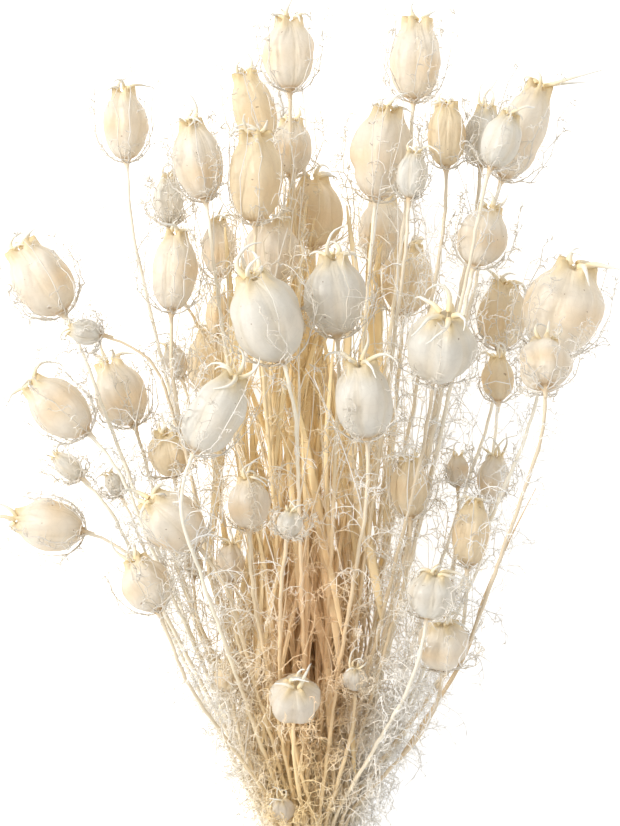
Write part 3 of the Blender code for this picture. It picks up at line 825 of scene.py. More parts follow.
def pod_outline(i, draw):
    """How far along and how wide a pod is at each ring from its base to the middle of its top."""
    control = SMALL_OUTLINE
    if HALF_WIDTHS[i] >= SMALL_BELOW:
        rim = CROWN_WIDTHS.get(i + 1, draw.uniform(*CROWN_WIDTH))
        shoulder = [(far, max(least, rim + wider)) for far, least, wider in SHOULDER]
        control = TALL_OUTLINE + shoulder + [(0.9, 0.5 * rim), (0.82, 0)]
    rings = np.array(smooth(control, POD_RINGS + 1))
    rings[:, 1] = np.maximum(rings[:, 1], 0)
    rings[0, 1] = 0
    rings[-1, 1] = 0
    return rings[:, 0], rings[:, 1]


def pod_points(i, centre, roll, draw):
    """A pod's points ring by ring, and how far along, how near a ridge and how near the crown each is."""
    along, width = pod_outline(i, draw)
    turn = 2 * np.pi * np.arange(POD_SIDES) / POD_SIDES
    ridge = np.sqrt(np.cos(LOBES * turn / 2) ** 2 + RIDGE_ROUNDING)[None]
    body = np.clip((along + 1) / 0.35, 0.25, 1)[:, None]
    crown = np.exp(-((along - CROWN) / CROWN_SPAN) ** 2)[:, None]
    corner = ridge ** CORNER_SHARPNESS * crown
    lobes = 1 + LOBE_DEPTH * body * (2 * ridge - 1)
    phase = [draw.uniform(0, 2 * np.pi) for _ in range(4)]
    swell = -SHRUNK
    for start, (height, count, twist) in zip(phase, SWELLS):
        swell = swell + height * np.sin(count * turn + start + twist * along[:, None])
    crumpled = i + 1 in CRUMPLED
    for _ in range(CRUMPLED_DENTS if crumpled else DENTS):
        off = np.abs((turn - draw.uniform(0, 2 * np.pi) + np.pi) % (2 * np.pi) - np.pi)
        high = np.abs(along[:, None] - draw.uniform(*DENT_ALONG))
        far = (off / draw.uniform(*DENT_WIDTH)) ** 2
        far = far + (high / draw.uniform(*(CRUMPLED_LENGTH if crumpled else DENT_LENGTH))) ** 2
        swell -= DENT_DEPTH * draw.uniform(0.2, 1) * np.exp(-far)
    radius = HALF_WIDTHS[i] * (width[:, None] * lobes * (1 + swell) + CORNER_REACH * corner)
    lift = along[:, None] + CORNER_RISE * corner - 0.02 * (1 - ridge) * crown
    lift = HALF_LENGTHS[i] * (lift + 0.01 * np.sin(5 * turn + phase[3]) * width[:, None])
    side, up = cross_axes(AXES[i])
    out = np.sin(roll + turn)[:, None] * side - np.cos(roll + turn)[:, None] * up
    points = centre + lift[..., None] * AXES[i] + radius[..., None] * out[None]
    whole = np.ones_like(lift)
    return points, along[:, None] * whole, ridge * whole, crown * whole


def pod_tints(tone, along, ridge, draw):
    """A pod's colours: bleached paper, the seeds showing through, tan seams and base, and golden corners."""
    colours = read_colours()
    paper = np.broadcast_to(np.array(colours[tone]), (*along.shape, 3))
    side = np.cos(2 * np.pi * np.arange(POD_SIDES) / POD_SIDES - draw.uniform(0, 2 * np.pi)) ** 2
    blotch = np.exp(-((along + draw.uniform(*SEED_SHIFT)) / SEED_SPREAD) ** 2)
    blotch = blotch * (SEEDS_ALL_ROUND + (1 - SEEDS_ALL_ROUND) * side)
    tints = blend(paper, colours["seeds"], blotch * SEEDS_SHOW[tone])
    tints = blend(tints, colours["seam"], SEAM_SHARE * (1 - ridge) ** 3)
    top = np.exp(-((along - TOP_MIDDLE) / TOP_SPREAD) ** 2)
    tints = blend(tints, colours["corner"], top * (0.35 + 0.6 * ridge ** 3))
    return blend(tints, colours["base"], BASE_SHARE * np.exp(-((along + 1) / BASE_SPREAD) ** 2))


def pod_faces():
    """The faces of a pod whose poles are one point each, and the UV places of their corners."""
    faces = []
    places = []
    top = 1 + (POD_RINGS - 1) * POD_SIDES
    for ring in range(POD_RINGS):
        for k in range(POD_SIDES):
            low, high = ring / POD_RINGS, (ring + 1) / POD_RINGS
            start, end = k / POD_SIDES, (k + 1) / POD_SIDES
            a = 1 + (ring - 1) * POD_SIDES + k
            b = 1 + (ring - 1) * POD_SIDES + (k + 1) % POD_SIDES
            if ring == 0:
                faces.append((0, a + POD_SIDES, b + POD_SIDES))
                places += [(start, low), (start, high), (end, high)]
            elif ring == POD_RINGS - 1:
                faces.append((b, a, top))
                places += [(end, low), (start, low), (start, high)]
            else:
                faces.append((b, a, a + POD_SIDES, b + POD_SIDES))
                places += [(end, low), (start, low), (start, high), (end, high)]
    return faces, places


def warmth(points):
    """How deep in the bunch's heart each point lies, from 0 outside to 1 on its middle. It places the
    heart's straw colour, which is partly painted warm glow.
    """
    points = np.asarray(points, float)
    spread = np.clip(HEART_NARROWEST + points[:, 1] / HEART_WIDE_FROM, HEART_NARROWEST, 1)
    half_width = HEART_HALF_WIDTH * spread
    off = np.hypot((points[:, 0] - HEART_X) / half_width, (points[:, 2] - HEART_Z) / HEART_HALF_DEPTH)
    low = np.clip((points[:, 1] - HEART_FOOT) / HEART_FOOT_FADE, HEART_LEAST, 1)
    high = np.clip((HEART_TOP - points[:, 1]) / HEART_TOP_FADE, 0, 1)
    return np.exp(-off ** 2) * low * high


def straw_and_glow_tinted(tints, points, warm, ember, share):
    """Colours turned towards straw in the heart of the bunch, partly the stems' own less bleached tone and
    partly painted warm glow of light bouncing among the threads, and towards a painted orange glow in its
    middle.
    """
    points = np.asarray(points, float)
    deep = warmth(points)
    off = (points[:, :2] - GLOW_PATCH_MIDDLE) / GLOW_PATCH_HALF_SIZE
    patch = np.exp(-(off ** 2).sum(axis=1)) * np.minimum(3 * deep, 1)
    return blend(blend(tints, warm, share * deep), ember, GLOW_PATCH_SHARE * patch)


def add_pod(spray, k, plan, draw):
    """A pod's shell, and its horns rising from the corners of its crown."""
    points, along, ridge, crown = pod_points(k, plan.centres[k], plan.rolls[k], draw)
    points[..., 2] = np.maximum(points[..., 2], FLOOR_CLEARANCE)
    tone = "bleached" if k + 1 in LACY_BUDS else tone_of(k)
    tints = pod_tints(tone, along, ridge, draw)
    # Pods deep in the heart turn tan: partly their own less bleached tone, partly painted warm glow of light
    # bouncing round them
    deep = warmth(points.reshape(-1, 3)).reshape(along.shape)
    tints = blend(tints, read_colours()["seeds"], HEART_TONE_AND_GLOW_ON_PODS * deep)
    rows = [points[0, :1], *points[1:-1], points[-1, :1]]
    colours = [tints[0, :1], *tints[1:-1], tints[-1, :1]]
    faces, places = pod_faces()
    spray.add_shell(np.vstack(rows), faces, places, np.vstack(colours))

    rim = int(crown[:, 0].argmax())
    furthest = list(np.argsort([-tip[0] for tip in plan.tips[k]]))
    for lobe in range(LOBES):
        corner = points[rim, lobe * POD_SIDES // LOBES]
        tip = plan.tips[k][lobe]
        reach = Vector(tip - corner)
        start = Vector(corner) - HORN_SUNK * reach.normalized() * HALF_WIDTHS[k]
        length = reach.length * draw.uniform(*HORN_STRETCH)
        line = curled(start, reach, length, HORN_STEPS, HORN_CURL, draw)
        if k == LONG_HORNED_POD and furthest.index(lobe) < len(LONG_HORN_TIPS):
            way = Vector(LONG_HORN_TIPS[furthest.index(lobe)]) - start
            lift = Vector((0, 0, LONG_HORN_LIFT))
            bends = (start + 0.35 * way + lift, start + 0.7 * way + lift)
            line = smooth([start, *bends, start + way], 2 * HORN_STEPS)
        thick = HORN_ROOT * HALF_WIDTHS[k]
        share = np.linspace(0, 1, len(line))
        girths = HORN_TIP + (thick - HORN_TIP) * (1 - share) ** 1.1
        tints = blend(np.array(read_colours()["corner"]), read_colours()["horn"], HORN_PALING * share)
        spray.add_line(line, girths, STALK, tints)


def add_stalk(spray, k, plan, draw):
    """A stem or side shoot, slightly uneven, and the swollen tan end that carries the pod."""
    radius = STEM_RADIUS if HEADS[k].host is None else SHOOT_RADIUS
    line = resampled(plan.lines[k], STALK_STEP)
    count = len(line)
    wander = scattered(count, STALK_WANDER, draw)
    wander[[0, -1]] = 0
    line = line + wander
    girths = np.linspace(radius, STEM_TAPER * radius, count) * SLIM
    girths *= np.array([draw.uniform(*STALK_GIRTHS) for _ in range(count)])
    colours = read_colours()
    tone = blend(np.array(colours["stalk"]), colours["stalk_grey"], draw.random())
    # Straw deeper in the heart: partly the stem's own tone, partly painted warm glow of light bouncing among
    # the threads
    tints = straw_and_glow_tinted(np.tile(tone, (count, 1)), line, colours["stalk_warm"], colours["ember"], 1.1)
    spray.add_line(line, girths, STALK, tints)

    base = plan.centres[k] - AXES[k] * HALF_LENGTHS[k]
    cone = [base + AXES[k] * off for off in (*STALK_END_RUN, 0.12 * HALF_LENGTHS[k])]
    widest = STALK_END_WIDTH * HALF_WIDTHS[k] + 0.5
    cone_girths = [0.7 * radius, 0.9 * radius, 0.5 * (radius + widest), widest, 0.8 * widest]
    tints = blend(np.tile(tone, (len(cone), 1)), colours["base"], np.linspace(0, 1.2, len(cone)))
    spray.add_line(cone, cone_girths, STALK, tints)


def thread_tint(points, draw, grey=0.0):
    """A thread's colours: bone white outside, straw in the heart of the bunch that is partly painted warm
    glow, and here and there greyer.
    """
    colours = read_colours()
    tone = blend(np.array(colours["thread"]), colours["thread_grey"], grey + 0.4 * draw.random() ** 2)
    tones = np.tile(tone, (len(points), 1))
    return straw_and_glow_tinted(tones, points, colours["thread_warm"], colours["ember"], draw.uniform(0.7, 1.5))


def add_frond(spray, lines, draw, grey=0.0):
    """A frond's lines, each in a tone of its own."""
    for points, girths in lines:
        spray.add_line(points, girths, THREAD, thread_tint(points, draw, grey))


def add_bare_stalk(spray, plan, draw):
    """A broken stalk without a pod, which leaves its host's stem and ends in a point."""
    run = plan.lines[BARE_STALK_HOST]
    root = run[np.abs(run[:, 1] - BARE_STALK_ROOT).argmin()]
    line = smooth([root, *BARE_STALK], 3 * SPINE_POINTS)
    tone = blend(np.array(read_colours()["stalk_grey"]), read_colours()["base"], 0.5)
    girths = np.linspace(1, 0.15, len(line)) * [draw.uniform(0.9, 1.1) for _ in line]
    spray.add_line(line, girths, STALK, np.tile(tone, (len(line), 1)))


def outward(k, centre, points):
    """The way out from a pod's axis at each point."""
    apart = np.asarray(points) - centre
    apart = apart - (apart @ AXES[k])[:, None] * AXES[k]
    return apart / (np.linalg.norm(apart, axis=1, keepdims=True) + 1e-6)


def add_bracts(spray, k, plan, sizes, draw):
    """The cage of finely cut bracts round a pod: those of the CAD model, and more between them."""
    centre = plan.centres[k]
    half_length = AXES[k] * HALF_LENGTHS[k]
    width = HALF_WIDTHS[k] * (1 + LOBE_DEPTH)
    spines = [thread.copy() for thread in plan.bracts[k]]
    lacy = k + 1 in LACY_BUDS
    more = round(sizes.bracts_per_width * HEADS[k].width * (LACY_BRACTS if lacy else 1)) + 1
    start = draw.uniform(0, 2 * math.pi)
    for number in range(more):
        out = around(k, start + 2 * math.pi * (number + draw.uniform(-0.3, 0.3)) / more)
        reach = draw.uniform(*(BLEACHED_BRACT_REACH if OWNER[k] + 1 in BLEACHED else BRACT_REACH))
        spines.append(np.array([
            centre - half_length * BRACT_ROOT + out * width * 0.12,
            centre - half_length * draw.uniform(0.5, 0.75) + out * (width + draw.uniform(*BRACT_OUT)),
            centre + half_length * reach + out * (width + draw.uniform(*BRACT_TIP_OUT)),
        ]))
    for spine in spines:
        spine[0] = centre - half_length * BRACT_ROOT + 0.3 * (spine[0] - centre + half_length * 0.75)
        line = smooth(spine, SPINE_POINTS)
        line[2:] += scattered(SPINE_POINTS - 2, BRACT_WANDER, draw)
        end = Vector(line[-1] - line[-2])
        tip = curled(line[-1], end, 0.35 * HALF_WIDTHS[k] + 2, 3, 1.5 * sizes.curl, draw)
        line = [Vector(point) for point in line] + tip[1:]
        lines = frond(line, sizes.bract_thread / MM, 0.5 * HALF_WIDTHS[k] + 3, sizes.fullness,
                      1.15 * sizes.curl, draw, outward(k, centre, line))
        add_frond(spray, lines, draw, BRACT_GREY)


def add_leaves(spray, k, plan, sizes, draw):
    """The thread-like leaves along a stem: those of the CAD model, and more wherever the stem is bare."""

    def add_leaf(line):
        lines = frond(line, sizes.thread / MM, LEAF_REACH, sizes.fullness, sizes.curl, draw)
        add_frond(spray, lines, draw)

    for thread in plan.leaves[k]:
        line = smooth(thread, SPINE_POINTS)
        line[1:] += scattered(SPINE_POINTS - 1, 0.5, draw)
        add_leaf(line)
    run = resampled(plan.lines[k], 2.0)
    run = run[(run[:, 1] > LOWEST_LEAF) & (run[:, 1] < run[-1, 1] - 14)]
    if len(run) < 4:
        return
    at = draw.uniform(0, sizes.leaf_spacing / MM)
    length = np.linalg.norm(np.diff(run, axis=0), axis=1).sum()
    while at < length:
        root = run[min(int(at / length * len(run)), len(run) - 1)]
        bare = 1 if root[1] < LEAFY_BELOW else BARER_ABOVE
        at += bare * draw.uniform(0.6, 1.4) * sizes.leaf_spacing / MM / leafiness(root)
        if draw.random() < LEAFLESS_HEART * warmth([root])[0]:
            continue
        out = sideways(draw)
        heading = Vector((0, 1, 0)) + draw.uniform(*LEAF_SPLAY) * out
        reach = draw.uniform(*LEAF_SIZES) * sizes.leaf_length / MM
        add_leaf(curled(root, heading, reach, SPINE_POINTS - 2, 0.7 * sizes.curl, draw))


def add_wisps(spray, k, plan, sizes, draw):
    """Long threads that fill the heart of the bunch, thicker there. The outer ones fork."""
    run = resampled(plan.lines[k], sizes.wisp_spacing / MM)
    run = run[(run[:, 1] > LOWEST_LEAF) & (run[:, 1] < min(WISPS_BELOW, run[-1, 1] - 20))]
    for root, warm in zip(run, warmth(run) if len(run) else []):
        if draw.random() > WISP_SHARE + warm:
            continue
        out = sideways(draw)
        heading = Vector((0, 1, 0)) + draw.uniform(*WISP_SPLAY) * out
        length = draw.uniform(*WISP_SIZES) * sizes.wisp_length / MM
        line = curled(root, heading, length, WISP_STEPS, 0.1 * sizes.curl, draw, WISP_WANDER)
        lines = [(line, tapered((0.9 + warm) * sizes.bract_thread / MM, len(line)))]
        for fork in WISP_FORKS:
            if draw.random() < 2 * warm:
                continue
            onward = (line[fork + 1] - line[fork]).normalized() + 0.8 * any_way(draw)
            tine = curled(line[fork], onward, 0.3 * sizes.wisp_length / MM, 3, sizes.curl, draw)
            lines.append((tine, tapered(0.9 * sizes.thread / MM, len(tine))))
        add_frond(spray, lines, draw)


def add_blades(spray, k, plan, draw):
    """Flat straws beside a stem in the heart of the bunch: lower leaves that have faded to gold."""
    colours = read_colours()
    run = resampled(plan.lines[k], BLADE_SPACING)
    run = run[(run[:, 1] > LOWEST_LEAF) & (run[:, 1] < min(BLADES_BELOW, run[-1, 1]) - BLADE_LENGTH[0])]
    for root in run:
        warm = warmth([root])[0]
        if root[2] > BLADES_UNDER or draw.uniform(LEAST_BLADE_WARMTH, 0.5) > warm:
            continue
        out = sideways(draw)
        inward = Vector((BLADE_PULL_X * (HEART_X - root[0]), 1, BLADE_PULL_Z * (HEART_Z - root[2])))
        length = min(draw.uniform(*BLADE_LENGTH), min(BLADES_BELOW, plan.lines[k][-1, 1]) - root[1])
        heading = inward + draw.uniform(*BLADE_SPLAY) * out
        line = curled(Vector(root) + out, heading, length, BLADE_STEPS, BLADE_WANDER, draw, BLADE_WANDER)
        share = np.linspace(0, 1, len(line))
        girths = draw.uniform(*BLADE_HALF_WIDTH) * (0.25 + 0.75 * np.sin(np.pi * share ** 0.8) ** 0.7)
        tone = blend(np.array(colours["stalk"]), colours["stalk_warm"], draw.uniform(0.4, 1))
        # Warmer deeper in the heart: partly the blade's own gold, partly painted warm glow of light bouncing
        # among the threads
        tints = straw_and_glow_tinted(np.tile(tone, (len(line), 1)), line, colours["stalk_warm"], colours["ember"], 1)
        spray.add_line(line, girths, BLADE, tints, draw.gauss(0, BLADE_TILT))


def leafiness(root):
    """How closely leaves stand at a place: most on the stems that lie on top, and low down."""
    return 0.35 + 1.2 * min(max((root[2] - 25) / 45, 0), 1) + (1.7 if root[1] < FRINGE_BELOW else 0)


def grow_spray(i, plan, sizes):
    """One leafy stem with its side shoots, as the faces and lines of a spray."""
    draw = random.Random(LOOKS_SEED + i)
    spray = Spray()
    for k in [k for k in range(COUNT) if OWNER[k] == i]:
        add_pod(spray, k, plan, draw)
        add_stalk(spray, k, plan, draw)
        add_bracts(spray, k, plan, sizes, draw)
        add_leaves(spray, k, plan, sizes, draw)
        add_wisps(spray, k, plan, sizes, draw)
        add_blades(spray, k, plan, draw)
    if i == BARE_STALK_HOST:
        add_bare_stalk(spray, plan, draw)
    spray.keep_clear(*balls_of(plan.centres))
    return spray


def wind_tie(draw):
    """The raffia: fibres wound round the stems in a few turns, with a knot on top and two frayed ends."""
    tie = Spray()
    colours = read_colours()
    middle = (TIE_INNER + TIE_OUTER) / 2
    turn_width = 2 * TIE_HALF_WIDTH / TIE_TURNS
    around_once = np.linspace(0, 2 * math.pi, TIE_STEPS + 1)

    def add_fibre(points):
        tone = blend(np.array(colours["raffia"]), colours["raffia_dark"], draw.random() ** 1.5)
        girths = FIBRE_RADIUS * np.array([draw.uniform(0.85, 1.1) for _ in points])
        points = np.array(points)
        points[:, 2] = np.maximum(points[:, 2], girths)
        tie.add_line(points, girths, STALK, np.tile(tone, (len(points), 1)))

    for turn in range(TIE_TURNS):
        for fibre in range(FIBRES):
            phase = 2 * math.pi * fibre / FIBRES + draw.uniform(-0.2, 0.2)
            twist = phase + TWISTS * around_once
            radius = middle + TWIST_DEPTH * np.cos(twist)
            along = (turn - (TIE_TURNS - 1) / 2) * turn_width + TWIST_WIDTH * np.sin(twist)
            ring = np.stack([radius * np.sin(around_once), along, -radius * np.cos(around_once)], axis=1)
            add_fibre(TIE_CENTRE + ring)
    t = np.linspace(0, 2 * math.pi, 3 * TIE_STEPS // 4)
    trefoil = [np.sin(t) + 2 * np.sin(2 * t), np.cos(t) - 2 * np.cos(2 * t), -np.sin(3 * t)]
    trefoil = np.stack(trefoil, axis=1) / (3.0, 3.0, 1.0) * (np.array(KNOT_HALF_SIZE) - 1.1)
    for _ in range(FIBRES):
        off = np.array(any_way(draw)) * 0.75
        add_fibre(np.array(KNOT_MIDDLE) + trefoil + off)
    for path in LOOSE_ENDS:
        for _ in range(LOOSE_FIBRES):
            line = smooth(path, 18)
            fray = np.linspace(*FRAY, len(line))[:, None] ** 1.5
            add_fibre(line + np.array(any_way(draw)) * 0.5 * fray)
    return tie


def add_node(tree, kind, label, links=(), **values):
    """A node of a tree, with its settings, its constants and what feeds its sockets."""
    node = tree.nodes.new(kind)
    node.label = label
    for name, value in values.items():
        setattr(node, name, value)
    for socket, source in links:
        if hasattr(source, "is_output"):
            tree.links.new(source, node.inputs[socket])
        else:
            node.inputs[socket].default_value = source
    return node


def growing_tree(finishes):
    """Geometry Nodes that sweep a spray's lines into stalks and threads, and keep the faces of its pods."""
    tree = bpy.data.node_groups.new("Grown Spray", "GeometryNodeTree")
    tree.interface.new_socket("Geometry", in_out="INPUT", socket_type="NodeSocketGeometry")
    for name, low, sides in (("Thread Sides", 3, 3), ("Stalk Sides", 3, 7)):
        socket = tree.interface.new_socket(name, in_out="INPUT", socket_type="NodeSocketInt")
        socket.default_value = sides
        socket.min_value = low
    for name in finishes:
        tree.interface.new_socket(name, in_out="INPUT", socket_type="NodeSocketMaterial")
    tree.interface.new_socket("Geometry", in_out="OUTPUT", socket_type="NodeSocketGeometry")
    given = tree.nodes.new("NodeGroupInput").outputs
    join = add_node(tree, "GeometryNodeJoinGeometry", "Whole Spray")

    def step(kind, label, links, **values):
        """What comes out of the first socket of a new node."""
        return add_node(tree, kind, label, links, **values).outputs[0]

    def read(name, data_type="FLOAT"):
        """An attribute of the spray's points."""
        return step("GeometryNodeInputNamedAttribute", name, [("Name", name)], data_type=data_type)

    def finish(geometry, name):
        """Smooth shading, a real mesh and a material for one kind of geometry, which joins the rest."""
        soft = step("GeometryNodeSetShadeSmooth", "Smooth", [("Geometry", geometry)])
        real = step("GeometryNodeRealizeInstances", "Real Mesh", [("Geometry", soft)])
        dressed = step("GeometryNodeSetMaterial", name, [("Geometry", real), ("Material", given[name])])
        tree.links.new(dressed, join.inputs[0])

    for kind, sides, name in ((THREAD, "Thread Sides", "Thread Finish"),
                              (STALK, "Stalk Sides", "Stalk Finish"),
                              (BLADE, "Stalk Sides", "Stalk Finish")):
        chosen = read(MARKS[kind], "BOOLEAN")
        lines = step("GeometryNodeMeshToCurve", "Lines",
                     [("Mesh", given["Geometry"]), ("Selection", chosen)])
        ring = step("GeometryNodeCurvePrimitiveCircle", "Round Section",
                    [("Resolution", given[sides]), ("Radius", 1.0)])
        if kind == BLADE:
            flat = (1.0, BLADE_FLATNESS, 1.0)
            ring = step("GeometryNodeTransform", "Flat Section", [("Geometry", ring), ("Scale", flat)])
            lines = step("GeometryNodeSetCurveNormal", "Level", [("Curve", lines)], mode="Z_UP")
            lines = step("GeometryNodeSetCurveTilt", "Tilted", [("Curve", lines), ("Tilt", read("tilt"))])
        swept = step("GeometryNodeCurveToMesh", "Swept", [
            ("Curve", lines), ("Profile Curve", ring), ("Scale", read("girth")), ("Fill Caps", True)])
        finish(swept, name)
    chosen = read(MARKS[POD], "BOOLEAN")
    pods = step("GeometryNodeSeparateGeometry", "Pods",
                [("Geometry", given["Geometry"]), ("Selection", chosen)])
    finish(pods, "Pod Finish")
    out = tree.nodes.new("NodeGroupOutput")
    tree.links.new(join.outputs[0], out.inputs[0])
    return tree


def grown(spray, name, tree, inputs):
    """A plain mesh object swept from a spray's lines, with the faces of its pods."""
    holder = bpy.data.objects.new(name, spray.as_mesh(name))
    bpy.context.scene.collection.objects.link(holder)
    modifier = holder.modifiers.new("Grown Spray", "NODES")
    modifier.node_group = tree
    for item in tree.interface.items_tree:
        if item.item_type == "SOCKET" and item.in_out == "INPUT" and item.name in inputs:
            modifier[item.identifier] = inputs[item.name]
    bpy.context.view_layer.update()
    graph = bpy.context.evaluated_depsgraph_get()
    mesh = bpy.data.meshes.new_from_object(holder.evaluated_get(graph))
    holder.modifiers.clear()
    holder.data = mesh
    mesh.name = name
    for spent in (*MARKS, "girth", "tilt"):
        if spent in mesh.attributes:
            mesh.attributes.remove(mesh.attributes[spent])
    if not len(mesh.polygons):
        raise RuntimeError(f"{name} came out empty")
    return holder


def mixed(tree, label, factor, one, two, mode="MIX"):
    """The colour that comes of mixing two."""
    node = add_node(tree, "ShaderNodeMix", label, [("Factor", factor), ("A", one), ("B", two)],
                    data_type="RGBA", blend_type=mode)
    return node.outputs["Result"]


def noise(tree, label, vector, scale, **more):
    """Noise of a given scale."""
    more = [(name.title(), value) for name, value in more.items()]
    node = add_node(tree, "ShaderNodeTexNoise", label, [("Vector", vector), ("Scale", scale), *more])
    return node.outputs["Fac"]


def ranged(tree, label, value, low, high, to_low, to_high):
    """A value moved from one range to another."""
    sockets = zip(("Value", "From Min", "From Max", "To Min", "To Max"), (value, low, high, to_low, to_high))
    return add_node(tree, "ShaderNodeMapRange", label, list(sockets)).outputs[0]


def new_finish(name):
    """A material of nodes, its tree and the place of each point on the object."""
    finish = bpy.data.materials.new(name)
    finish.use_nodes = True
    tree = finish.node_tree
    tree.nodes.clear()
    return finish, tree, add_node(tree, "ShaderNodeTexCoord", "Place").outputs["Object"]


def dried_finish(name, thinness, roughness, mottling, relief=None, chart=None):
    """A dry plant finish, coloured by the tint attribute and mottled. Relief makes it crinkled.

    Thinness is the share of light that comes through. A chart is the UV map of a papery wall with relief.
    """
    finish, tree, place = new_finish(name)
    tint = add_node(tree, "ShaderNodeAttribute", "Tint", attribute_name="tint").outputs["Color"]
    mottle = noise(tree, "Mottling", place, mottling["scale"], detail=2.0, roughness=0.65)
    shade = ranged(tree, "Shade", mottle, 0.3, 0.7, 1.0 - mottling["depth"], 1.0)
    colour = mixed(tree, "Mottled Tint", 1.0, tint, shade, "MULTIPLY")
    looks = [("Roughness", roughness), ("Specular IOR Level", 0.35)]
    if relief:
        height = noise(tree, "Fine Grain", place, relief["scale"], detail=2.0)
        if chart:
            colour, height = papery(tree, place, colour, height, chart)
        bump = add_node(tree, "ShaderNodeBump", "Relief", [
            ("Strength", relief["strength"]), ("Distance", relief["distance"]), ("Height", height)])
        looks.append(("Normal", bump.outputs[0]))
    surface = add_node(tree, "ShaderNodeBsdfPrincipled", "Dry Surface", [("Base Color", colour), *looks])
    if thinness:
        through = add_node(tree, "ShaderNodeBsdfTranslucent", "Light Through", [("Color", colour)])
        surface = add_node(tree, "ShaderNodeMixShader", "Thin Wall", [
            ("Fac", thinness), (1, surface.outputs[0]), (2, through.outputs[0])])
    add_node(tree, "ShaderNodeOutputMaterial", "Output", [("Surface", surface.outputs[0])])
    return finish


def papery(tree, place, colour, height, chart):
    """Adds what a pod's wall has: long soft folds, a net of veins and a few dark specks."""
    where = add_node(tree, "ShaderNodeUVMap", "Pod Chart", uv_map=chart).outputs["UV"]
    drawn_out = add_node(tree, "ShaderNodeMapping", "Long Folds",
                         [("Vector", where), ("Scale", FOLDS_ROUND_AND_ALONG)])
    folds = noise(tree, "Folds", drawn_out.outputs[0], 1.0, detail=2.0, distortion=0.6)
    veins = add_node(tree, "ShaderNodeTexVoronoi", "Veins", [("Vector", place), ("Scale", VEIN_SCALE)],
                     feature="DISTANCE_TO_EDGE")
    vein = ranged(tree, "Vein Line", veins.outputs["Distance"], 0.0, 0.07, 0.965, 1.0)
    colour = mixed(tree, "Veined", 1.0, colour, vein, "MULTIPLY")
    speck = noise(tree, "Specks", place, SPECK_SCALE, detail=1.0)
    spots = ranged(tree, "Speck Spots", speck, 0.765, 0.785, 0.0, 0.6)
    colour = mixed(tree, "Specked", spots, colour, SPECK_COLOUR)
    total = add_node(tree, "ShaderNodeMath", "Folds And Grain", [(0, folds), (1, FOLD_HEIGHT), (2, height)],
                     operation="MULTIPLY_ADD")
    return colour, total.outputs[0]


def plain_finish(name, colour, roughness, glow):
    """The stage's floor: pale, matt, very faintly uneven and evenly lit from within, like a light table."""
    finish, tree, place = new_finish(name)
    dimmer = (*(0.985 * part for part in colour), 1)
    tone = mixed(tree, "Tone", noise(tree, "Cloud", place, 2.0), (*colour, 1), dimmer)
    surface = add_node(tree, "ShaderNodeBsdfPrincipled", "Matt Surface", [
        ("Base Color", tone), ("Roughness", roughness), ("Specular IOR Level", 0.2),
        ("Emission Color", (1, 1, 1, 1)), ("Emission Strength", glow)])
    add_node(tree, "ShaderNodeOutputMaterial", "Output", [("Surface", surface.outputs[0])])
    return finish


def colour_property(name, description, default):
    """A colour in linear values, as the materials use it."""
    return FloatVectorProperty(
        name=name, description=description, default=default, subtype="COLOR", min=0, max=1)


def length_property(name, description, default):
    """A length in metres."""
    return FloatProperty(
        name=name, description=description, default=default, unit="LENGTH", subtype="DISTANCE")


def power_property(name, description, default):
    """A light's power in watts."""
    return FloatProperty(name=name, description=description, default=default, unit="POWER")


class PodColours(bpy.types.PropertyGroup):
    """The colours of the pods' walls."""

    bleached: colour_property("Bleached", "Paper of the whitest pods", (0.81, 0.785, 0.72))
    cream: colour_property("Cream", "Paper of most pods", (0.87, 0.815, 0.715))
    straw: colour_property("Straw", "Paper of the most golden pods", (0.86, 0.75, 0.55))
    seeds: colour_property("Seeds", "Where the seeds show through the wall", (0.86, 0.65, 0.39))
    seam: colour_property("Seam", "The furrows between the lobes", (0.82, 0.69, 0.48))
    corner: colour_property("Corner", "The corners of the crown", (0.85, 0.69, 0.40))
    base: colour_property("Base", "The swollen end of the stalk", (0.66, 0.47, 0.26))
    horn: colour_property("Horn", "The tips of the horns", (0.82, 0.79, 0.71))


class ThreadColours(bpy.types.PropertyGroup):
    """The colours of stalks, threads and raffia."""

    thread: colour_property("Thread", "Threads on the outside of the bunch", (0.97, 0.955, 0.92))
    thread_grey: colour_property("Grey Thread", "The greyest threads", (0.72, 0.65, 0.54))
    # The warm colours are partly the heart's own straw and partly painted warm glow of light bouncing among
    # its threads
    thread_warm: colour_property("Warm Thread", "Threads in the heart of the bunch", (0.98, 0.77, 0.43))
    stalk: colour_property("Stalk", "Stalks on the outside of the bunch", (0.95, 0.90, 0.77))
    stalk_grey: colour_property("Grey Stalk", "The greyest stalks", (0.68, 0.55, 0.38))
    stalk_warm: colour_property("Warm Stalk", "Stalks in the heart of the bunch", (0.97, 0.76, 0.42))
    # Painted orange glow of light bouncing deep in the heart
    ember: colour_property("Ember", "The orange patch low in the heart", (0.98, 0.66, 0.38))
    raffia: colour_property("Raffia", "Most fibres of the tie", (0.58, 0.42, 0.23))
    raffia_dark: colour_property("Dark Raffia", "The darkest fibres of the tie", (0.36, 0.23, 0.11))


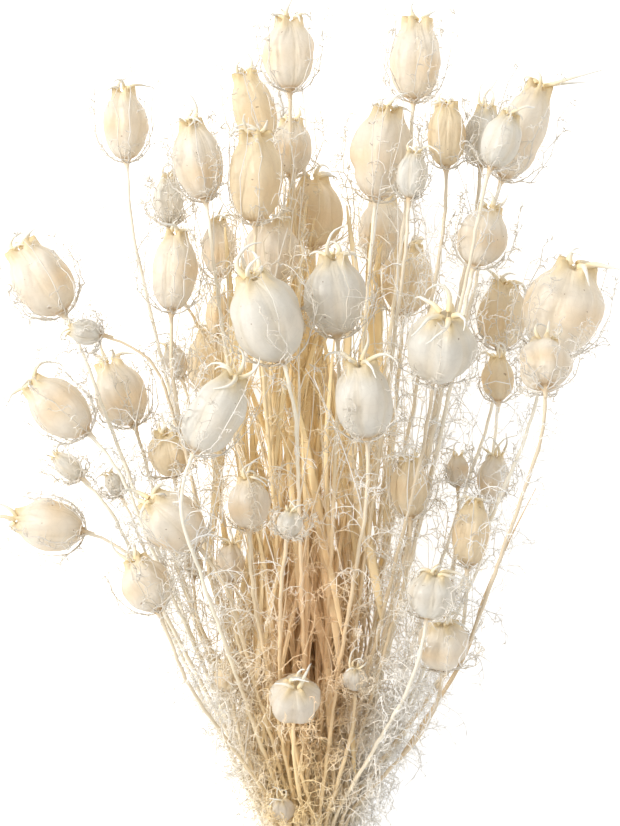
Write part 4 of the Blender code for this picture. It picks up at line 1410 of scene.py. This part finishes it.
class GrowthSizes(bpy.types.PropertyGroup):
    """How finely cut and how full the bracts and leaves are."""

    thread: length_property("Leaf Thread", "Radius at the root of a leaf", 0.0003)
    bract_thread: length_property("Bract Thread", "Radius at the root of a bract", 0.00034)
    wisp_length: length_property("Wisp Length", "Length of a long thread", 0.060)
    wisp_spacing: length_property("Wisp Spacing", "Run of stem between wisps", 0.012)
    leaf_length: length_property("Leaf Length", "Length of a long leaf", 0.027)
    leaf_spacing: length_property("Leaf Spacing", "Run of stem between two leaves", 0.009)
    bracts_per_width: FloatProperty(
        name="Bracts", description="More bracts round a pod, for each millimetre of its width", default=0.15)
    fullness: FloatProperty(
        name="Fullness", description="Share of a leaf's places that bear a side thread",
        default=0.6, subtype="FACTOR")
    curl: FloatProperty(
        name="Curl", description="Turn of a side thread at each step", default=0.62, subtype="ANGLE")
    thread_sides: IntProperty(
        name="Thread Sides", description="Sides of a thread's section", default=3, min=3)
    stalk_sides: IntProperty(
        name="Stalk Sides", description="Sides of a stalk's section", default=6, min=3)


class StageSettings(bpy.types.PropertyGroup):
    """The floor, the lights and the camera."""

    camera_height: length_property("Camera Height", "Above the middle of the bunch", 2.5)
    floor: colour_property("Floor", "The pale floor", (0.93, 0.93, 0.925))
    glow: FloatProperty(name="Glow", description="Strength of the even light from the floor", default=0.5)
    sky: FloatProperty(name="Sky", description="Strength of the even light from all round", default=0.85)
    key: power_property("Key", "Power of the soft light from the upper left", 210.0)
    fill: power_property("Fill", "Power of the softer light from the right", 15.0)


@functools.cache
def read_colours():
    """The colours set in the panel, by name, read once for each growing."""
    scene = bpy.context.scene
    found = {}
    for group, kind in ((scene.pod_colours, PodColours), (scene.thread_colours, ThreadColours)):
        found.update({name: tuple(getattr(group, name)) for name in kind.__annotations__})
    return found


def tone_of(k):
    """Whether a pod is bleached, cream or straw-coloured, and so the material slot of its stem."""
    number = OWNER[k] + 1
    return "bleached" if number in BLEACHED else "straw" if number in STRAW else "cream"


class POD_BUNCH_OT_sprays(bpy.types.Operator):
    """Grows a leafy stem with its pods in place of each stem of the CAD model"""

    bl_idname = "pod_bunch.sprays"
    bl_label = "Grow the Leafy Stems"

    def execute(self, context):
        read_colours.cache_clear()
        sizes = context.scene.growth_sizes
        finishes = {
            "Pod Finish": dried_finish("papery_pod", 0.35, 0.36, {"scale": 110.0, "depth": 0.08},
                                       {"scale": 700.0, "strength": 0.7, "distance": 0.0003}, "pod_chart"),
            "Thread Finish": dried_finish("dry_thread", 0.0, 0.6, {"scale": 160.0, "depth": 0.1}),
            "Stalk Finish": dried_finish("dry_stalk", 0.0, 0.5, {"scale": 90.0, "depth": 0.14},
                                         {"scale": 1200.0, "strength": 0.4, "distance": 0.0003}),
        }
        tree = growing_tree(finishes)
        inputs = {**finishes, "Thread Sides": sizes.thread_sides, "Stalk Sides": sizes.stalk_sides}
        plan = layout()
        for i in sorted(set(OWNER)):
            piece = grown(grow_spray(i, plan, sizes), f"spray_{i + 1:02d}", tree, inputs)
            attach(piece, "root")
            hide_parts(f"stem_{i + 1:02d}")
        return {"FINISHED"}


class POD_BUNCH_OT_tie(bpy.types.Operator):
    """Winds the raffia tie, with its knot and frayed ends"""

    bl_idname = "pod_bunch.tie"
    bl_label = "Wind the Raffia Tie"

    def execute(self, context):
        read_colours.cache_clear()
        finish = dried_finish("raffia_fibre", 0.05, 0.75, {"scale": 240.0, "depth": 0.3},
                              {"scale": 1400.0, "strength": 0.6, "distance": 0.0003})
        names = ("Pod Finish", "Thread Finish", "Stalk Finish")
        tree = growing_tree(names)
        inputs = {**{name: finish for name in names}, "Stalk Sides": FIBRE_SIDES}
        piece = grown(wind_tie(random.Random(LOOKS_SEED)), "raffia_tie", tree, inputs)
        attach(piece, "root")
        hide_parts("tie")
        return {"FINISHED"}


class POD_BUNCH_OT_stage(bpy.types.Operator):
    """Lays the pale floor, and sets soft lights and a camera that looks down on the bunch"""

    bl_idname = "pod_bunch.stage"
    bl_label = "Set the Stage"

    def execute(self, context):
        scene = context.scene
        settings = scene.stage_settings
        work = bmesh.new()
        bmesh.ops.create_circle(work, cap_ends=True, segments=FLOOR_SIDES, radius=FLOOR_RADIUS)
        mesh = bpy.data.meshes.new("floor")
        work.to_mesh(mesh)
        work.free()
        floor = bpy.data.objects.new("floor", mesh)
        mesh.materials.append(plain_finish("pale_floor", tuple(settings.floor), 0.9, settings.glow))
        scene.collection.objects.link(floor)

        world = bpy.data.worlds.new("even_light")
        world.use_nodes = True
        sky = world.node_tree.nodes["Background"]
        sky.inputs["Color"].default_value = (1.0, 1.0, 1.0, 1)
        sky.inputs["Strength"].default_value = settings.sky
        scene.world = world
        aim = Vector((0, PHOTO_MIDDLE_Y, PHOTO_PLANE_Z)) * MM
        for name, (place, size, colour) in LIGHTS.items():
            light = bpy.data.lights.new(name, "AREA")
            light.energy = getattr(settings, name)
            light.size = size
            light.color = colour
            lamp = bpy.data.objects.new(name, light)
            lamp.location = place
            lamp.rotation_mode = "QUATERNION"
            lamp.rotation_quaternion = (Vector(place) - aim).to_track_quat("Z", "Y")
            scene.collection.objects.link(lamp)

        camera = bpy.data.cameras.new("view_from_above")
        camera.sensor_fit = "VERTICAL"
        camera.sensor_height = SENSOR_HEIGHT
        camera.lens = SENSOR_HEIGHT * settings.camera_height / (PHOTO_HEIGHT * MM)
        camera.clip_end = FAR_CLIP
        holder = bpy.data.objects.new("view_from_above", camera)
        holder.location = aim + Vector((0, 0, settings.camera_height))
        scene.collection.objects.link(holder)
        scene.camera = holder
        scene.view_settings.view_transform = "Standard"
        return {"FINISHED"}


class POD_BUNCH_PT_panel(bpy.types.Panel):
    """The bunch's settings and steps"""

    bl_label = "Dried Pod Bunch"
    bl_idname = "POD_BUNCH_PT_panel"
    bl_space_type = "VIEW_3D"
    bl_region_type = "UI"
    bl_category = "Pod Bunch"

    def draw(self, context):
        scene = context.scene
        for group, kind in GROUPS.items():
            box = self.layout.box()
            box.label(text=group.replace("_", " ").title())
            for name in kind.__annotations__:
                box.prop(getattr(scene, group), name)
        for operator in OPERATORS:
            self.layout.operator(operator.bl_idname)


GROUPS = {
    "pod_colours": PodColours,
    "thread_colours": ThreadColours,
    "growth_sizes": GrowthSizes,
    "stage_settings": StageSettings,
}
OPERATORS = (POD_BUNCH_OT_sprays, POD_BUNCH_OT_tie, POD_BUNCH_OT_stage)


def register():
    """Registers the classes and gives each scene the settings."""
    for kind in (*GROUPS.values(), *OPERATORS, POD_BUNCH_PT_panel):
        bpy.utils.register_class(kind)
    for name, kind in GROUPS.items():
        setattr(bpy.types.Scene, name, PointerProperty(type=kind))


def unregister():
    """Takes the settings and the classes away again."""
    for name in GROUPS:
        delattr(bpy.types.Scene, name)
    for kind in (POD_BUNCH_PT_panel, *reversed(OPERATORS), *reversed(GROUPS.values())):
        bpy.utils.unregister_class(kind)


def main():
    """Makes the bunch and its stage."""
    register()
    bpy.ops.pod_bunch.sprays()
    bpy.ops.pod_bunch.tie()
    bpy.ops.pod_bunch.stage()


if __name__ == "__main__":
    main()
